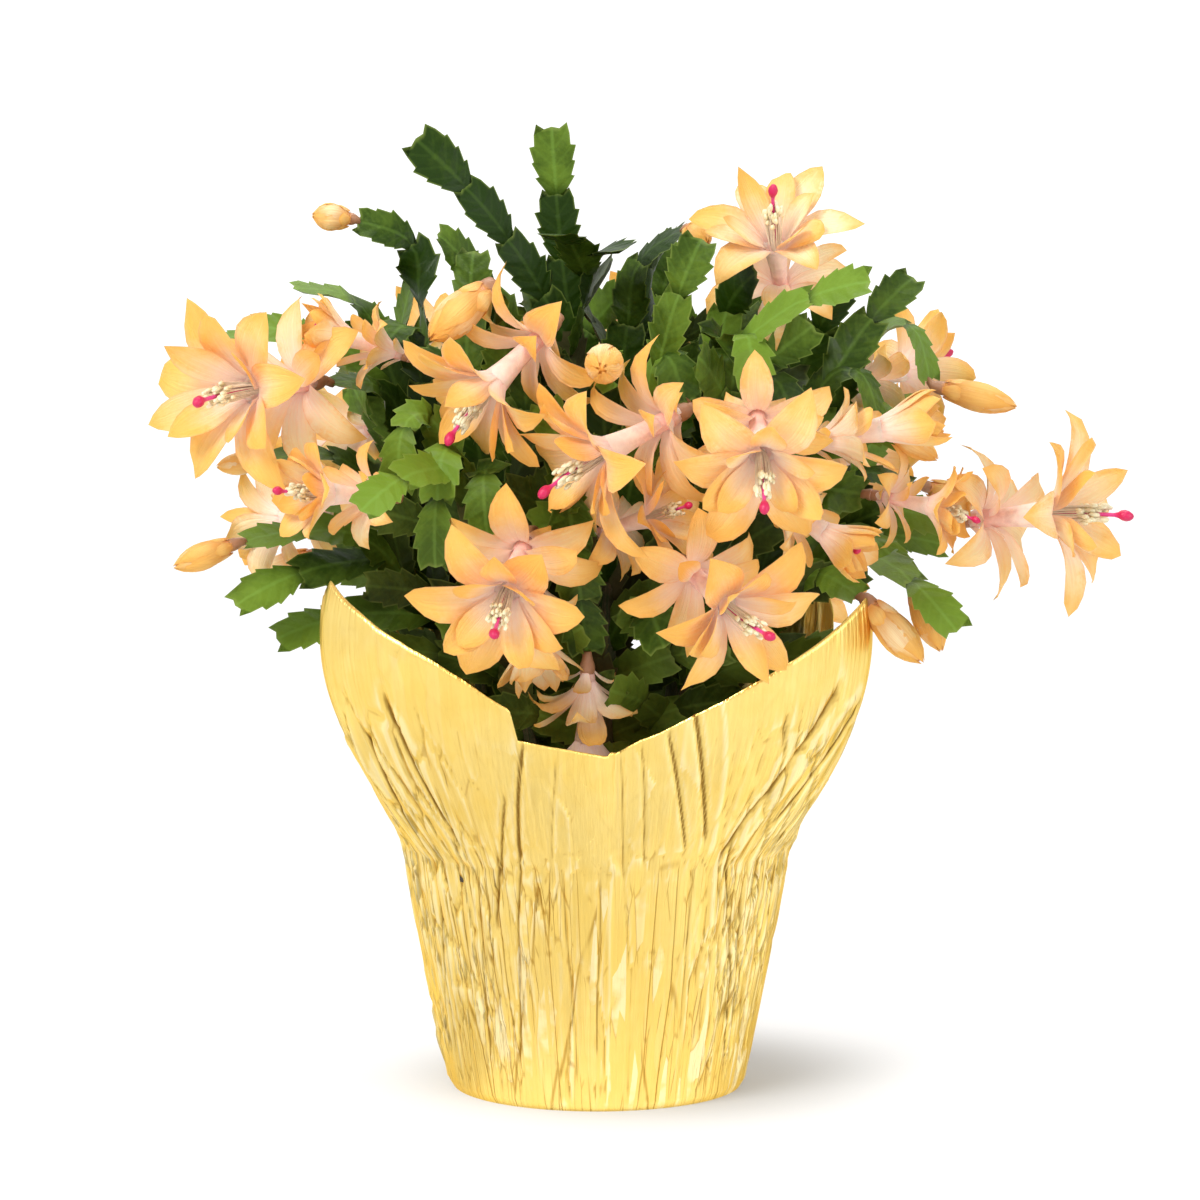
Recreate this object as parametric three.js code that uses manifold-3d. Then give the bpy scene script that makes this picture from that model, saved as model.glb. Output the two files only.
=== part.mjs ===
// A holiday cactus in bloom, in its nursery pot inside a gold foil pot cover.
// Millimetres, +Z up, the viewer's side is -Y. The origin is the middle of the underside.
import * as THREE from "three";
import Module from "manifold-3d";
import { mergeVertices } from "three/addons/utils/BufferGeometryUtils.js";

const wasm = await Module();
wasm.setup();

// Driving dimensions of the holders: a 6 inch azalea pot and the foil cover made for it.
const COVER_BASE_RADIUS = 59;
const COVER_WALL_SLOPE = 0.184;
const COVER_WAIST = 98;
const COVER_THICKNESS = 0.8;
const FOOT_HEIGHT = 4;
const FOOT_INSET = 1.5;
const BRIM_LEVELS = [0.3, 0.66, 1];
const COVER_CURL = 0.62 * Math.PI;
const BRIM_FULL_HEIGHT = 113;
const FRONT_FLARE = 11;
const CORNER_FLARE = 46;
const CORNER_SPREAD = 0.8;
const BRIM_BOW = 0.1;
const PLEAT_DEPTH = 1.1;
const PLEATS = 20;
const POT_HEIGHT = 104;
const POT_WALL = 1.4;
const POT_SIDES = 20;
const POT_SLACK = 1.4;
const POT_LIFT = 0.3;
const POT_RIM_DEPTH = 14;
const POT_RIM_STEP = 1.2;
const POT_RIM_EASE = 0.2;
const DRAIN_HOLE_RADIUS = 5;
const DRAIN_HOLE_RING = 36;
const DRAIN_HOLES = 6;
const SOIL_TOP = 92;
const SOIL_GAP = 0.3;
const SOIL_RELIEF = 2.2;
const SOIL_EDGE_DROP = 2;
const SOIL_MOUND = 2;
const SOIL_RINGS = [0.78, 0.48, 0.2];

// Driving dimensions of the plant.
const PAD_LENGTH = 31;
const PAD_WIDTH = 19;
const PAD_VARIETY = 0.1;
const PAD_SWAY = 14;
const BACK_START = 30;
const FACING_BIAS = 35;
const OUTWARD_RISE = 30;
const RIB_THICKNESS = 2.4;
const NECK_WIDTH = 4.6;
const STALK_RADIUS = 3.4;
const LEAFY_SEGMENTS = 3;
const BRANCH_REACH = 1.5;
const TWIG_NECK = 7;
const TWIG_OFFSET = 2;
const TWIG_LENGTH = 54;
const TWIG_LIFT = 18;
const TWIG_ARRIVAL = 16;
const TWIG_ROLL = 12;
const NECK_LENGTH = 3;
const SINK = 1;
const TWIG_DROOP = 9;
const ROOT_DEPTH = 14;
const CLEARANCE = 0.35;
const SEAT_GAP = 0.4;
const POINT_GROWTH = 3;
const TEPALS = 6;
const TEPAL_THICKNESS = 1.2;
const TEPAL_HALF_WIDTH = 7.8;

// Brim corners, clockwise from the viewer's side: azimuth in degrees, height of the tip.
const CORNERS = [
  [60, 204],
  [135, 206],
  [225, 208],
  [300, 211],
];
// The low points of the brim between the corners, in the same order.
const VALLEYS = [
  [5, 145],
  [97, 158],
  [180, 150],
  [262, 160],
];

// Half of a pad's outline as [share of length, share of half width]: teeth point forward, horns at the end.
const PAD_EDGE = [
  [0.2, 0.74],
  [0.52, 1.0],
  [0.58, 0.8],
  [1.03, 0.62],
];

// Each stem is a rooted cutting: where it stands in the soil, then its runs of pads.
// A run is [name, grows from, at joint, lift, tip, arrival, roll, twigs]: it climbs by lift, comes in to
// its tip along arrival. Twigs leave it at the joints listed, to the left where the joint is negative.
// The first run of a stem is its bare woody stalk.
const STEMS = {
  stem_crown: {
    root: [2, 8],
    runs: [
      ["stalk", null, 0, 40, [0, 6, 236], [-2, 0, 40], 0, []],
      ["spire", "stalk", 4, 23, [-18, 2, 384], [-4, 0, 70], 0, []],
      ["lean", "spire", 3, 12, [-71, -10, 380], [-38, -6, 34], -45, []],
      ["hook", "stalk", 4, 60, [34, -10, 344], [24, -6, -16], 10, []],
      ["reach", "stalk", 2.3, 90, [71, -18, 313], [36, -6, 6], 0, []],
      ["tuft", "spire", 3, 34, [10, -34, 338], [12, -22, -6], 0, [1]],
      ["plume", "stalk", 3.9, 94, [32, 42, 342], [10, 22, -2], 0, []],
      ["fan", "stalk", 3.5, 37, [-40, 40, 344], [-14, 20, 2], 0, []],
    ],
  },
  stem_front: {
    root: [2, -26],
    runs: [
      ["stalk", null, 0, 40, [4, -46, 214], [0, -4, 40], 0, []],
      ["curtain", "stalk", 2.4, 139, [-4, -68, 184], [10, 44, -100], 0, []],
      ["shelf", "stalk", 3.6, 106, [34, -86, 283], [8, -8, -40], 0, [-3]],
      ["knob", "stalk", 3.8, 76, [4, -86, 299], [4, -30, 2], 0, [2]],
      ["low", "stalk", 3.1, 51, [26, -68, 186], [10, -10, -24], 0, []],
      ["dip", "stalk", 3.1, 12, [-25, -70, 220], [-6, -10, -26], 0, []],
      ["core", "stalk", 3.8, 20, [-2, -68, 228], [2, -16, 10], 0, []],
      ["hem", "stalk", 3.9, 41, [-24, -80, 233], [-10, -12, -16], 0, [1]],
    ],
  },
  stem_front_right: {
    root: [22, -20],
    runs: [
      ["stalk", null, 0, 40, [44, -38, 214], [4, -4, 40], 0, []],
      ["drape", "stalk", 3.2, 113, [60, -86, 286], [3, -10, -52], 0, [-4]],
      ["strand", "stalk", 4, 88, [47, -68, 306], [4, -14, -20], 0, [2]],
      ["fall", "stalk", 3.6, 97, [76, -66, 267], [16, -9, -48], 0, [-2]],
      ["ledge", "stalk", 3.4, 98, [110, -44, 272], [10, -4, -44], 0, [-3, 2]],
      ["nod", "stalk", 2.7, 54, [31, -82, 223], [2, -14, -24], 0, []],
      ["spur", "stalk", 2.6, 52, [62, -68, 245], [16, -10, -20], 0, []],
      ["low", "stalk", 2.5, 50, [66, -56, 190], [14, -12, -22], 0, []],
      ["crest", "stalk", 3.8, 92, [62, -50, 330], [16, -18, -8], 0, [1]],
    ],
  },
  stem_right: {
    root: [30, 4],
    runs: [
      ["stalk", null, 0, 40, [60, 2, 214], [6, 0, 40], 0, []],
      ["arch", "stalk", 4, 117, [131, -20, 286], [12, -6, -52], 0, []],
      ["wing", "stalk", 2.7, 64, [138, -26, 231], [42, -8, -14], 20, []],
      ["barb", "stalk", 3, 74, [104, -44, 243], [30, -14, -10], 10, []],
      ["tail", "stalk", 2.6, 68, [121, -42, 212], [16, -10, -36], 10, [3, -2]],
      ["nub", "stalk", 2.5, 53, [102, -54, 204], [16, -12, -24], 5, []],
      ["side", "stalk", 3.2, 56, [98, 38, 278], [24, 4, -30], 0, [4]],
      ["bough", "stalk", 3, 58, [128, 22, 240], [30, 6, -24], 0, [-3, 2]],
    ],
  },
  stem_left: {
    root: [-30, 2],
    runs: [
      ["stalk", null, 0, 40, [-58, -2, 214], [-6, 0, 40], 0, []],
      ["crook", "stalk", 4.0, 109, [-94, -14, 348], [-32, -4, -6], -30, []],
      ["flag", "stalk", 3.5, 103, [-82, -36, 302], [-6, -10, -30], 0, []],
      ["perch", "stalk", 3.6, 103, [-119, -22, 322], [-32, -4, -6], 5, [-3]],
      ["arm", "stalk", 3, 76, [-104, -38, 286], [-28, -14, -10], 10, []],
      ["oar", "stalk", 3, 72, [-127, -40, 256], [-30, -8, -10], 10, []],
      ["fin", "stalk", 2.6, 103, [-138, -40, 224], [-40, -8, 0], 20, [-2, -1]],
      ["side", "stalk", 3.3, 113, [-118, 18, 288], [-28, 6, -24], 0, [-4, 3]],
      ["bough", "stalk", 2.6, 65, [-102, 30, 234], [-28, 4, -26], 0, [3, 2]],
    ],
  },
  stem_front_left: {
    root: [-18, -20],
    runs: [
      ["stalk", null, 0, 40, [-38, -42, 214], [-4, -4, 40], 0, []],
      ["mane", "stalk", 4, 99, [-76, -76, 248], [-4, -8, -70], 0, []],
      ["lock", "stalk", 2.7, 122, [-62, -88, 220], [-2, -8, -86], 0, [-4]],
      ["braid", "stalk", 3.0, 90, [-42, -88, 232], [4, -8, -60], 0, []],
      ["mast", "stalk", 3.9, 84, [-16, -70, 312], [14, -24, 0], 0, []],
      ["twig", "stalk", 3.7, 94, [-40, -64, 324], [-6, -26, 2], 0, []],
      ["crest", "stalk", 3.9, 94, [-62, -38, 344], [-18, -16, -6], 0, []],
      ["tab", "stalk", 3.5, 118, [-70, -50, 296], [-24, -14, -4], 0, [4]],
      ["low", "stalk", 2.6, 30, [-60, -58, 188], [-14, -12, -22], 0, []],
    ],
  },
  stem_back_right: {
    root: [20, 28],
    runs: [
      ["stalk", null, 0, 40, [42, 52, 214], [4, 4, 40], 0, []],
      ["drape", "stalk", 3.9, 91, [86, 66, 262], [10, 8, -56], 0, [2, -3]],
      ["fall", "stalk", 4, 102, [66, 90, 278], [6, 10, -52], 0, [-4, 3]],
      ["low", "stalk", 2.4, 52, [112, 64, 216], [28, 14, -22], 10, [2]],
      ["rise", "stalk", 3.6, 89, [74, 58, 332], [22, 16, 0], 0, []],
      ["mane", "stalk", 2.3, 120, [70, 92, 214], [8, 10, -56], 0, [3, -2]],
      ["ledge", "stalk", 3.6, 125, [106, 36, 290], [22, 8, -30], 0, [3]],
    ],
  },
  stem_back: {
    root: [-4, 38],
    runs: [
      ["stalk", null, 0, 40, [-4, 64, 214], [0, 4, 40], 0, []],
      ["curtain", "stalk", 3, 128, [-4, 108, 240], [0, 10, -76], 0, [-3]],
      ["shelf", "stalk", 3.9, 96, [-34, 102, 284], [-6, 10, -46], 0, [-2]],
      ["low", "stalk", 2.3, 61, [28, 108, 208], [8, 16, -26], 0, [2, 1]],
      ["rise", "stalk", 3.7, 79, [14, 102, 298], [4, 26, -6], 0, []],
      ["strand", "stalk", 3.3, 82, [34, 100, 276], [10, 12, -40], 0, [3]],
    ],
  },
  stem_back_left: {
    root: [-26, 26],
    runs: [
      ["stalk", null, 0, 40, [-48, 48, 214], [-4, 4, 40], 0, []],
      ["drape", "stalk", 3.9, 123, [-88, 64, 264], [-10, 8, -56], 0, [4]],
      ["fall", "stalk", 2.9, 108, [-54, 96, 232], [-6, 12, -60], 0, [-4, 3]],
      ["low", "stalk", 2.4, 45, [-112, 58, 208], [-28, 12, -16], 10, [-2]],
      ["rise", "stalk", 4, 68, [-58, 66, 286], [-16, 20, -6], 0, []],
      ["ledge", "stalk", 3.9, 65, [-106, 34, 300], [-24, 8, -24], 0, []],
      ["strand", "stalk", 3.7, 96, [-74, 84, 288], [-10, 12, -40], 0, []],
    ],
  },
};

// A bloom is [name, stem, run, facing, size, openness]. Openness 1 is full, 0.3 is a half-open cone.
const BLOOMS = [
  ["bloom_left", "stem_left", "arm", [-0.64, -0.76, -0.02], 1.15, 1],
  ["bloom_tall", "stem_front_left", "mast", [-0.65, -0.42, -0.62], 1.05, 1],
  ["bloom_peep", "stem_front_left", "tab", [-0.9, -0.2, 0.3], 0.75, 0.4],
  ["bloom_crown", "stem_crown", "reach", [-0.12, -0.65, 0.75], 0.95, 1],
  ["bloom_dusk", "stem_front_left", "mane", [-0.85, -0.5, 0.1], 0.85, 0.6],
  ["bloom_lap", "stem_front", "hem", [-0.2, -0.8, -0.5], 1.05, 1],
  ["bloom_drop", "stem_front", "dip", [0.1, -0.2, -1.0], 0.85, 0.5],
  ["bloom_heart", "stem_front", "shelf", [-0.82, -0.42, -0.38], 1.1, 1],
  ["bloom_core", "stem_front", "core", [0.8, -0.5, 0.3], 0.75, 0.9],
  ["bloom_gaze", "stem_front_right", "drape", [0.04, -0.86, -0.5], 1.0, 1],
  ["bloom_fold", "stem_front_right", "fall", [0.96, -0.12, 0.2], 0.95, 0.25],
  ["bloom_skirt", "stem_front_right", "nod", [0.5, -0.74, -0.42], 1.0, 1],
  ["bloom_cone", "stem_front_right", "spur", [0.8, -0.35, -0.48], 0.85, 0.3],
  ["bloom_well", "stem_front", "curtain", [0.0, 0.22, -1.0], 0.95, 0.65],
  ["bloom_far", "stem_right", "wing", [0.86, -0.42, 0.1], 1.1, 1],
  ["bloom_edge", "stem_right", "barb", [0.9, -0.3, -0.15], 0.7, 0.8],
  ["bloom_side_right", "stem_right", "side", [0.8, 0.6, 0.15], 0.85, 1],
  ["bloom_side_left", "stem_left", "bough", [-0.8, 0.5, -0.35], 0.8, 1],
  ["bloom_back_right", "stem_back_right", "drape", [0.5, 0.85, -0.3], 0.95, 1],
  ["bloom_back_low", "stem_back_right", "mane", [0.35, 0.75, -0.5], 0.9, 1],
  ["bloom_back", "stem_back", "curtain", [0.1, 0.8, -0.6], 1.0, 1],
  ["bloom_back_high", "stem_back", "rise", [0.15, 0.9, -0.1], 0.75, 1],
  ["bloom_back_mid", "stem_back", "shelf", [-0.45, 0.8, -0.3], 0.95, 1],
  ["bloom_back_left", "stem_back_left", "drape", [-0.5, 0.85, -0.25], 1.0, 1],
  ["bloom_back_fall", "stem_back_left", "fall", [-0.4, 0.7, -0.6], 0.85, 0.6],
  ["bloom_back_top", "stem_back_left", "rise", [-0.1, 0.95, 0.05], 0.8, 1],
];

// A bud is [name, stem, run, facing, length, width].
const BUDS = [
  ["bud_arch", "stem_right", "arch", [0.9, -0.3, -0.2], 32, 11],
  ["bud_side", "stem_right", "bough", [0.8, 0.3, -0.3], 26, 10],
  ["bud_tail", "stem_right", "tail", [0.35, -0.3, -0.9], 30, 12],
  ["bud_nub", "stem_right", "nub", [0.65, -0.3, -0.7], 32, 13],
  ["bud_oar", "stem_left", "oar", [-0.95, -0.2, -0.1], 19, 8],
  ["bud_fin", "stem_left", "fin", [-0.85, -0.3, -0.3], 26, 10],
  ["bud_perch", "stem_left", "crook", [-0.95, -0.2, 0.1], 16, 10],
  ["bud_twig", "stem_front_left", "twig", [-0.7, -0.5, -0.6], 33, 15],
  ["bud_knob", "stem_front", "knob", [-0.1, -0.95, -0.1], 22, 14],
  ["bud_hook", "stem_crown", "hook", [0.5, -0.7, -0.3], 14, 10],
  ["bud_ledge", "stem_front_right", "ledge", [0.8, -0.3, -0.5], 24, 9],
  ["bud_low", "stem_back", "low", [0.2, 0.6, -0.75], 28, 11],
  ["bud_strand", "stem_back_left", "strand", [-0.3, 0.8, -0.5], 24, 10],
  ["bud_back_rise", "stem_back_right", "rise", [0.5, 0.6, 0.5], 18, 9],
  ["bud_back_fall", "stem_back_right", "fall", [0.2, 0.8, -0.5], 30, 12],
  ["bud_back_low", "stem_back_left", "low", [-0.8, 0.4, -0.4], 28, 11],
];

const UP = new THREE.Vector3(0, 0, 1);
const PLANT_HEART = new THREE.Vector3(0, 0, 195);
const OUTWARD_SHARES = new THREE.Vector3(0.55, 1, 0.6);

const vector = (p) => new THREE.Vector3(...p);
const radians = THREE.MathUtils.degToRad;

// A repeatable number from -1 to 1 for each seed.
function wobble(seed) {
  const value = Math.sin(seed * 12.9898 + 4.1) * 43758.5453;
  return 2 * (value - Math.floor(value)) - 1;
}

// A closed surface under construction: points, and triangles that face out.
class Skin {
  constructor() {
    this.points = [];
    this.faces = [];
  }

  point(v) {
    this.points.push(v.x, v.y, v.z);
    return this.points.length / 3 - 1;
  }

  ring(points) {
    return points.map((p) => this.point(p));
  }

  // A closed band of triangles from one ring to the next ring of as many points.
  band(low, high) {
    low.forEach((a, i) => {
      const j = (i + 1) % low.length;
      this.faces.push(a, low[j], high[j], a, high[j], high[i]);
    });
  }

  // Closes a ring with triangles round one point.
  cap(ring, tip, facesAlong) {
    ring.forEach((a, i) => {
      const b = ring[(i + 1) % ring.length];
      this.faces.push(...(facesAlong ? [a, b, tip] : [b, a, tip]));
    });
  }

  solid() {
    const mesh = new wasm.Mesh({
      numProp: 3,
      vertProperties: new Float32Array(this.points),
      triVerts: new Uint32Array(this.faces),
    });
    return new wasm.Manifold(mesh);
  }
}

// The three.js geometry of a solid, and the solid of a three.js geometry.
function geometryOf(solid) {
  const { numProp, vertProperties, triVerts } = solid.getMesh();
  const position = new Float32Array((vertProperties.length / numProp) * 3);
  for (let i = 0; i < position.length / 3; i++) {
    position.set(vertProperties.subarray(i * numProp, i * numProp + 3), i * 3);
  }
  const geometry = new THREE.BufferGeometry();
  geometry.setAttribute("position", new THREE.BufferAttribute(position, 3));
  geometry.setIndex(new THREE.BufferAttribute(triVerts, 1));
  return geometry;
}

function solidOf(geometry) {
  const bare = geometry.clone();
  bare.deleteAttribute("normal");
  bare.deleteAttribute("uv");
  const merged = mergeVertices(bare, 1e-3);
  return new wasm.Manifold(
    new wasm.Mesh({
      numProp: 3,
      vertProperties: merged.attributes.position.array,
      triVerts: new Uint32Array(merged.index.array),
    }),
  );
}

// The biggest body of a solid that a cut has left in several.
function mainBody(solid) {
  const bodies = solid.decompose();
  return bodies.reduce((best, body) =>
    body.volume() > best.volume() ? body : best,
  );
}

// Foil pot cover

// Height of the brim and how much of a corner there is, at an azimuth in degrees from the viewer's side.
function brimAt(azimuth) {
  const marks = [];
  CORNERS.forEach((corner, i) => {
    marks.push([VALLEYS[i][0], VALLEYS[i][1], 0], [corner[0], corner[1], 1]);
  });
  marks.push([VALLEYS[0][0] + 360, VALLEYS[0][1], 0]);
  const bearing = azimuth < marks[0][0] ? azimuth + 360 : azimuth;
  const next = marks.findIndex((mark) => mark[0] > bearing);
  const [from, to] = [marks[next - 1], marks[next]];
  const share = (bearing - from[0]) / (to[0] - from[0]);
  const climb = from[2] < to[2] ? share : 1 - share;
  const eased = (1 - BRIM_BOW) * climb + BRIM_BOW * climb * climb;
  const low = Math.min(from[1], to[1]);
  const high = Math.max(from[1], to[1]);
  return { height: low + (high - low) * eased, corner: climb };
}

// The cover flares straight up to its waist, then curls outwards, furthest at the corners.
function coverRadius(azimuth, z) {
  const wall = COVER_BASE_RADIUS + COVER_WALL_SLOPE * Math.min(z, COVER_WAIST);
  if (z <= COVER_WAIST) return wall;
  const { corner } = brimAt(azimuth);
  const flare = FRONT_FLARE + (CORNER_FLARE - FRONT_FLARE) * corner ** CORNER_SPREAD;
  const climb = (z - COVER_WAIST) / BRIM_FULL_HEIGHT;
  return wall + flare * Math.sin(COVER_CURL * climb);
}

function foilCover() {
  const wallLevels = [0, FOOT_HEIGHT, COVER_WAIST];
  const sides = 2 * PLEATS;
  const skin = new Skin();
  const ringAt = (level, inset) => {
    const points = [];
    for (let i = 0; i < sides; i++) {
      const azimuth = (360 * i) / sides;
      const rise = brimAt(azimuth).height - COVER_WAIST;
      const onBrim = level >= wallLevels.length;
      const share = onBrim ? BRIM_LEVELS[level - wallLevels.length] : 0;
      const z = onBrim ? COVER_WAIST + rise * share : wallLevels[level];
      const foot = level === 0 ? FOOT_INSET : 0;
      const pleat = level > 1 ? PLEAT_DEPTH * (i % 2) : 0;
      const r = coverRadius(azimuth, z) + pleat - foot - inset;
      const a = radians(azimuth);
      const lift = inset > 0 && level === 0 ? COVER_THICKNESS : 0;
      points.push(new THREE.Vector3(r * Math.sin(a), -r * Math.cos(a), z + lift));
    }
    return skin.ring(points);
  };
  const levels = wallLevels.length + BRIM_LEVELS.length;
  const outer = [];
  const inner = [];
  for (let level = 0; level < levels; level++) {
    outer.push(ringAt(level, 0));
    inner.push(ringAt(level, COVER_THICKNESS));
  }
  skin.cap(outer[0], skin.point(new THREE.Vector3(0, 0, 0)), false);
  skin.cap(inner[0], skin.point(new THREE.Vector3(0, 0, COVER_THICKNESS)), true);
  for (let level = 1; level < levels; level++) {
    skin.band(outer[level - 1], outer[level]);
    skin.band(inner[level], inner[level - 1]);
  }
  skin.band(outer[levels - 1], inner[levels - 1]);
  return skin.solid();
}

// Nursery pot and soil

const potFloor = COVER_THICKNESS + POT_LIFT;
const potFoot = potRadius(0) - FOOT_INSET;

function potRadius(z) {
  return coverRadius(0, z) - COVER_THICKNESS - POT_SLACK;
}

// A closed profile of [radius, height] turned round Z.
function turned(profile) {
  const points = profile.map(([r, z]) => new THREE.Vector2(r, z));
  const lathe = new THREE.LatheGeometry(points, POT_SIDES);
  return solidOf(lathe.rotateX(Math.PI / 2));
}

// A tapered pot with a wider rim and a ring of drain holes in its floor.
function nurseryPot() {
  const rimFoot = POT_HEIGHT - POT_RIM_DEPTH;
  const neck = potRadius(rimFoot) - POT_RIM_STEP;
  const rim = potRadius(COVER_WAIST) - POT_RIM_EASE;
  let pot = turned([
    [0, potFloor],
    [potFoot, potFloor],
    [neck, rimFoot],
    [rim, rimFoot + 1],
    [rim, POT_HEIGHT],
    [rim - POT_WALL, POT_HEIGHT],
    [neck - POT_WALL, rimFoot],
    [potFoot - POT_WALL, potFloor + POT_WALL],
    [0, potFloor + POT_WALL],
  ]);
  for (let i = 0; i < DRAIN_HOLES; i++) {
    const a = (2 * Math.PI * i) / DRAIN_HOLES;
    const hole = new THREE.CylinderGeometry(
      DRAIN_HOLE_RADIUS,
      DRAIN_HOLE_RADIUS,
      12,
      8,
    );
    hole.rotateX(Math.PI / 2);
    hole.translate(
      DRAIN_HOLE_RING * Math.cos(a),
      DRAIN_HOLE_RING * Math.sin(a),
      potFloor,
    );
    pot = pot.subtract(solidOf(hole));
  }
  return pot;
}

// The soil fills the pot to just under its rim, with a lumpy top that rises to the middle.
function pottingSoil() {
  const skin = new Skin();
  const foot = potFloor + POT_WALL + SOIL_GAP;
  const ringAt = (r, z, relief) => {
    const points = [];
    for (let i = 0; i < POT_SIDES; i++) {
      const a = (2 * Math.PI * i) / POT_SIDES;
      const lump = relief * wobble(i * 7.3 + r);
      points.push(new THREE.Vector3(r * Math.cos(a), r * Math.sin(a), z + lump));
    }
    return skin.ring(points);
  };
  const bottom = potFoot - POT_WALL - 2 * SOIL_GAP;
  const top = potRadius(SOIL_TOP) - POT_RIM_STEP - POT_WALL - 4 * SOIL_GAP;
  const rings = [
    ringAt(bottom, foot, 0),
    ringAt(top, SOIL_TOP - SOIL_EDGE_DROP, 0),
  ];
  SOIL_RINGS.forEach((share, i) => {
    const z = SOIL_TOP + (i ? SOIL_MOUND : 0);
    rings.push(ringAt(top * share, z, SOIL_RELIEF));
  });
  skin.cap(rings[0], skin.point(new THREE.Vector3(0, 0, foot)), false);
  rings.slice(1).forEach((ring, i) => skin.band(rings[i], ring));
  const crest = skin.point(new THREE.Vector3(0, 0, SOIL_TOP + SOIL_MOUND + 1));
  skin.cap(rings[rings.length - 1], crest, true);
  return skin.solid();
}

// Leafy stems

// The joints of one run with the heading and the width direction at each: only the last segments are pads.
// Pads turn their faces outwards, and most of all to the viewer's side, or to the back if the run ends there.
function traceRun(start, climb, lift, tip, arrival, roll, leafy) {
  const curve = new THREE.CubicBezierCurve3(
    start,
    start.clone().addScaledVector(climb, lift),
    tip.clone().sub(arrival),
    tip,
  );
  const pads = Math.max(1, Math.round(curve.getLength() / PAD_LENGTH));
  const joints = curve.getSpacedPoints(pads);
  const heading = joints.map((_, i) => {
    const before = joints[Math.max(i - 1, 0)];
    const after = joints[Math.min(i + 1, pads)];
    return after.clone().sub(before).normalize();
  });
  const faced = tip.y > BACK_START ? FACING_BIAS : -FACING_BIAS;
  const across = joints.map((joint, i) => {
    const outward = joint.clone().sub(PLANT_HEART);
    outward.multiply(OUTWARD_SHARES).add(new THREE.Vector3(0, faced, OUTWARD_RISE));
    const turn = radians(roll + PAD_SWAY * wobble(i * 5.1 + tip.x + tip.z));
    const width = heading[i].clone().cross(outward).normalize();
    return width.applyAxisAngle(heading[i], turn);
  });
  return { joints, heading, across, pads, woody: Math.max(pads - leafy, 0) };
}

// A short twig of two pads that leaves a run at a joint, to one side and a little outward.
function traceTwig(run, at, side) {
  const outward = run.joints[at].clone().sub(PLANT_HEART).normalize();
  const way = run.heading[at]
    .clone()
    .multiplyScalar(0.62)
    .addScaledVector(run.across[at], 0.72 * side)
    .addScaledVector(outward, 0.3)
    .normalize();
  const start = run.joints[at]
    .clone()
    .addScaledVector(way, TWIG_NECK)
    .addScaledVector(outward, TWIG_OFFSET);
  const tip = start.clone().addScaledVector(way, TWIG_LENGTH);
  tip.z -= TWIG_DROOP;
  const arrival = way.clone().multiplyScalar(TWIG_ARRIVAL);
  arrival.z -= TWIG_DROOP;
  return traceRun(start, way, TWIG_LIFT, tip, arrival, TWIG_ROLL * side, LEAFY_SEGMENTS);
}

// Traces all the runs of a stem with their twigs, by name.
function layOut(stem) {
  const laid = new Map();
  stem.runs.forEach(([name, from, at, lift, tip, arrival, roll, twigs]) => {
    const parent = laid.get(from);
    const start = parent
      ? parent.joints[Math.floor(at)].clone().lerp(parent.joints[Math.ceil(at)], at % 1)
      : new THREE.Vector3(...stem.root, SOIL_TOP - ROOT_DEPTH);
    const reach = vector(tip).sub(start).normalize();
    const climb = UP.clone().addScaledVector(reach, parent ? BRANCH_REACH : 0).normalize();
    const leafy = parent ? LEAFY_SEGMENTS : 0;
    const run = traceRun(start, climb, lift, vector(tip), vector(arrival), roll, leafy);
    run.rooted = !parent;
    run.twigs = twigs.map((twig) => {
      const joint = Math.abs(twig);
      return { joint, side: Math.sign(twig), run: traceTwig(run, joint, Math.sign(twig)) };
    });
    laid.set(name, run);
  });
  return laid;
}

// The four points round a joint: right, inside, left and outside.
function neckPoints(run, i, shift, grow) {
  const { joints, heading, across, woody, rooted } = run;
  const thick = heading[i].clone().cross(across[i]);
  const round = rooted || (i > 0 && i < woody);
  const w = (round ? STALK_RADIUS : NECK_WIDTH / 2) + grow;
  const t = (round ? STALK_RADIUS : RIB_THICKNESS / 2) + grow;
  const at = joints[i].clone().addScaledVector(heading[i], shift);
  return [
    at.clone().addScaledVector(across[i], w),
    at.clone().addScaledVector(thick, t),
    at.clone().addScaledVector(across[i], -w),
    at.clone().addScaledVector(thick, -t),
  ];
}

// One pad between two necks: a toothed blade with a rib along the middle of both faces.
function addPad(skin, run, k, low, high, grow) {
  const { joints, across } = run;
  const along = joints[k + 1].clone().sub(joints[k]);
  const ahead = along.clone().normalize();
  const sum = across[k].clone().add(across[k + 1]);
  const width = sum.addScaledVector(ahead, -sum.dot(ahead)).normalize();
  const size = 1 + PAD_VARIETY * wobble(k * 3.7 + joints[k].x);
  const half = (PAD_WIDTH / 2) * size + POINT_GROWTH * grow;
  [1, -1].forEach((side) => {
    const edge = PAD_EDGE.map(([s, w]) => {
      const p = joints[k].clone().addScaledVector(along, s);
      if (s > 1) p.addScaledVector(ahead, POINT_GROWTH * grow);
      return skin.point(p.addScaledVector(width, side * w * half));
    });
    const near = side > 0 ? 0 : 2;
    [1, 3].forEach((face) => {
      const [from, to] = [low[face], high[face]];
      const sheet = [
        [from, low[near], edge[0]],
        [from, edge[0], edge[1]],
        [from, edge[1], to],
        [to, edge[1], edge[2]],
        [to, edge[2], high[near]],
        [high[near], edge[2], edge[3]],
      ];
      const turn = (side > 0) === (face === 1);
      sheet.forEach(([a, b, c]) => {
        skin.faces.push(...(turn ? [c, b, a] : [a, b, c]));
      });
    });
  });
}

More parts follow.
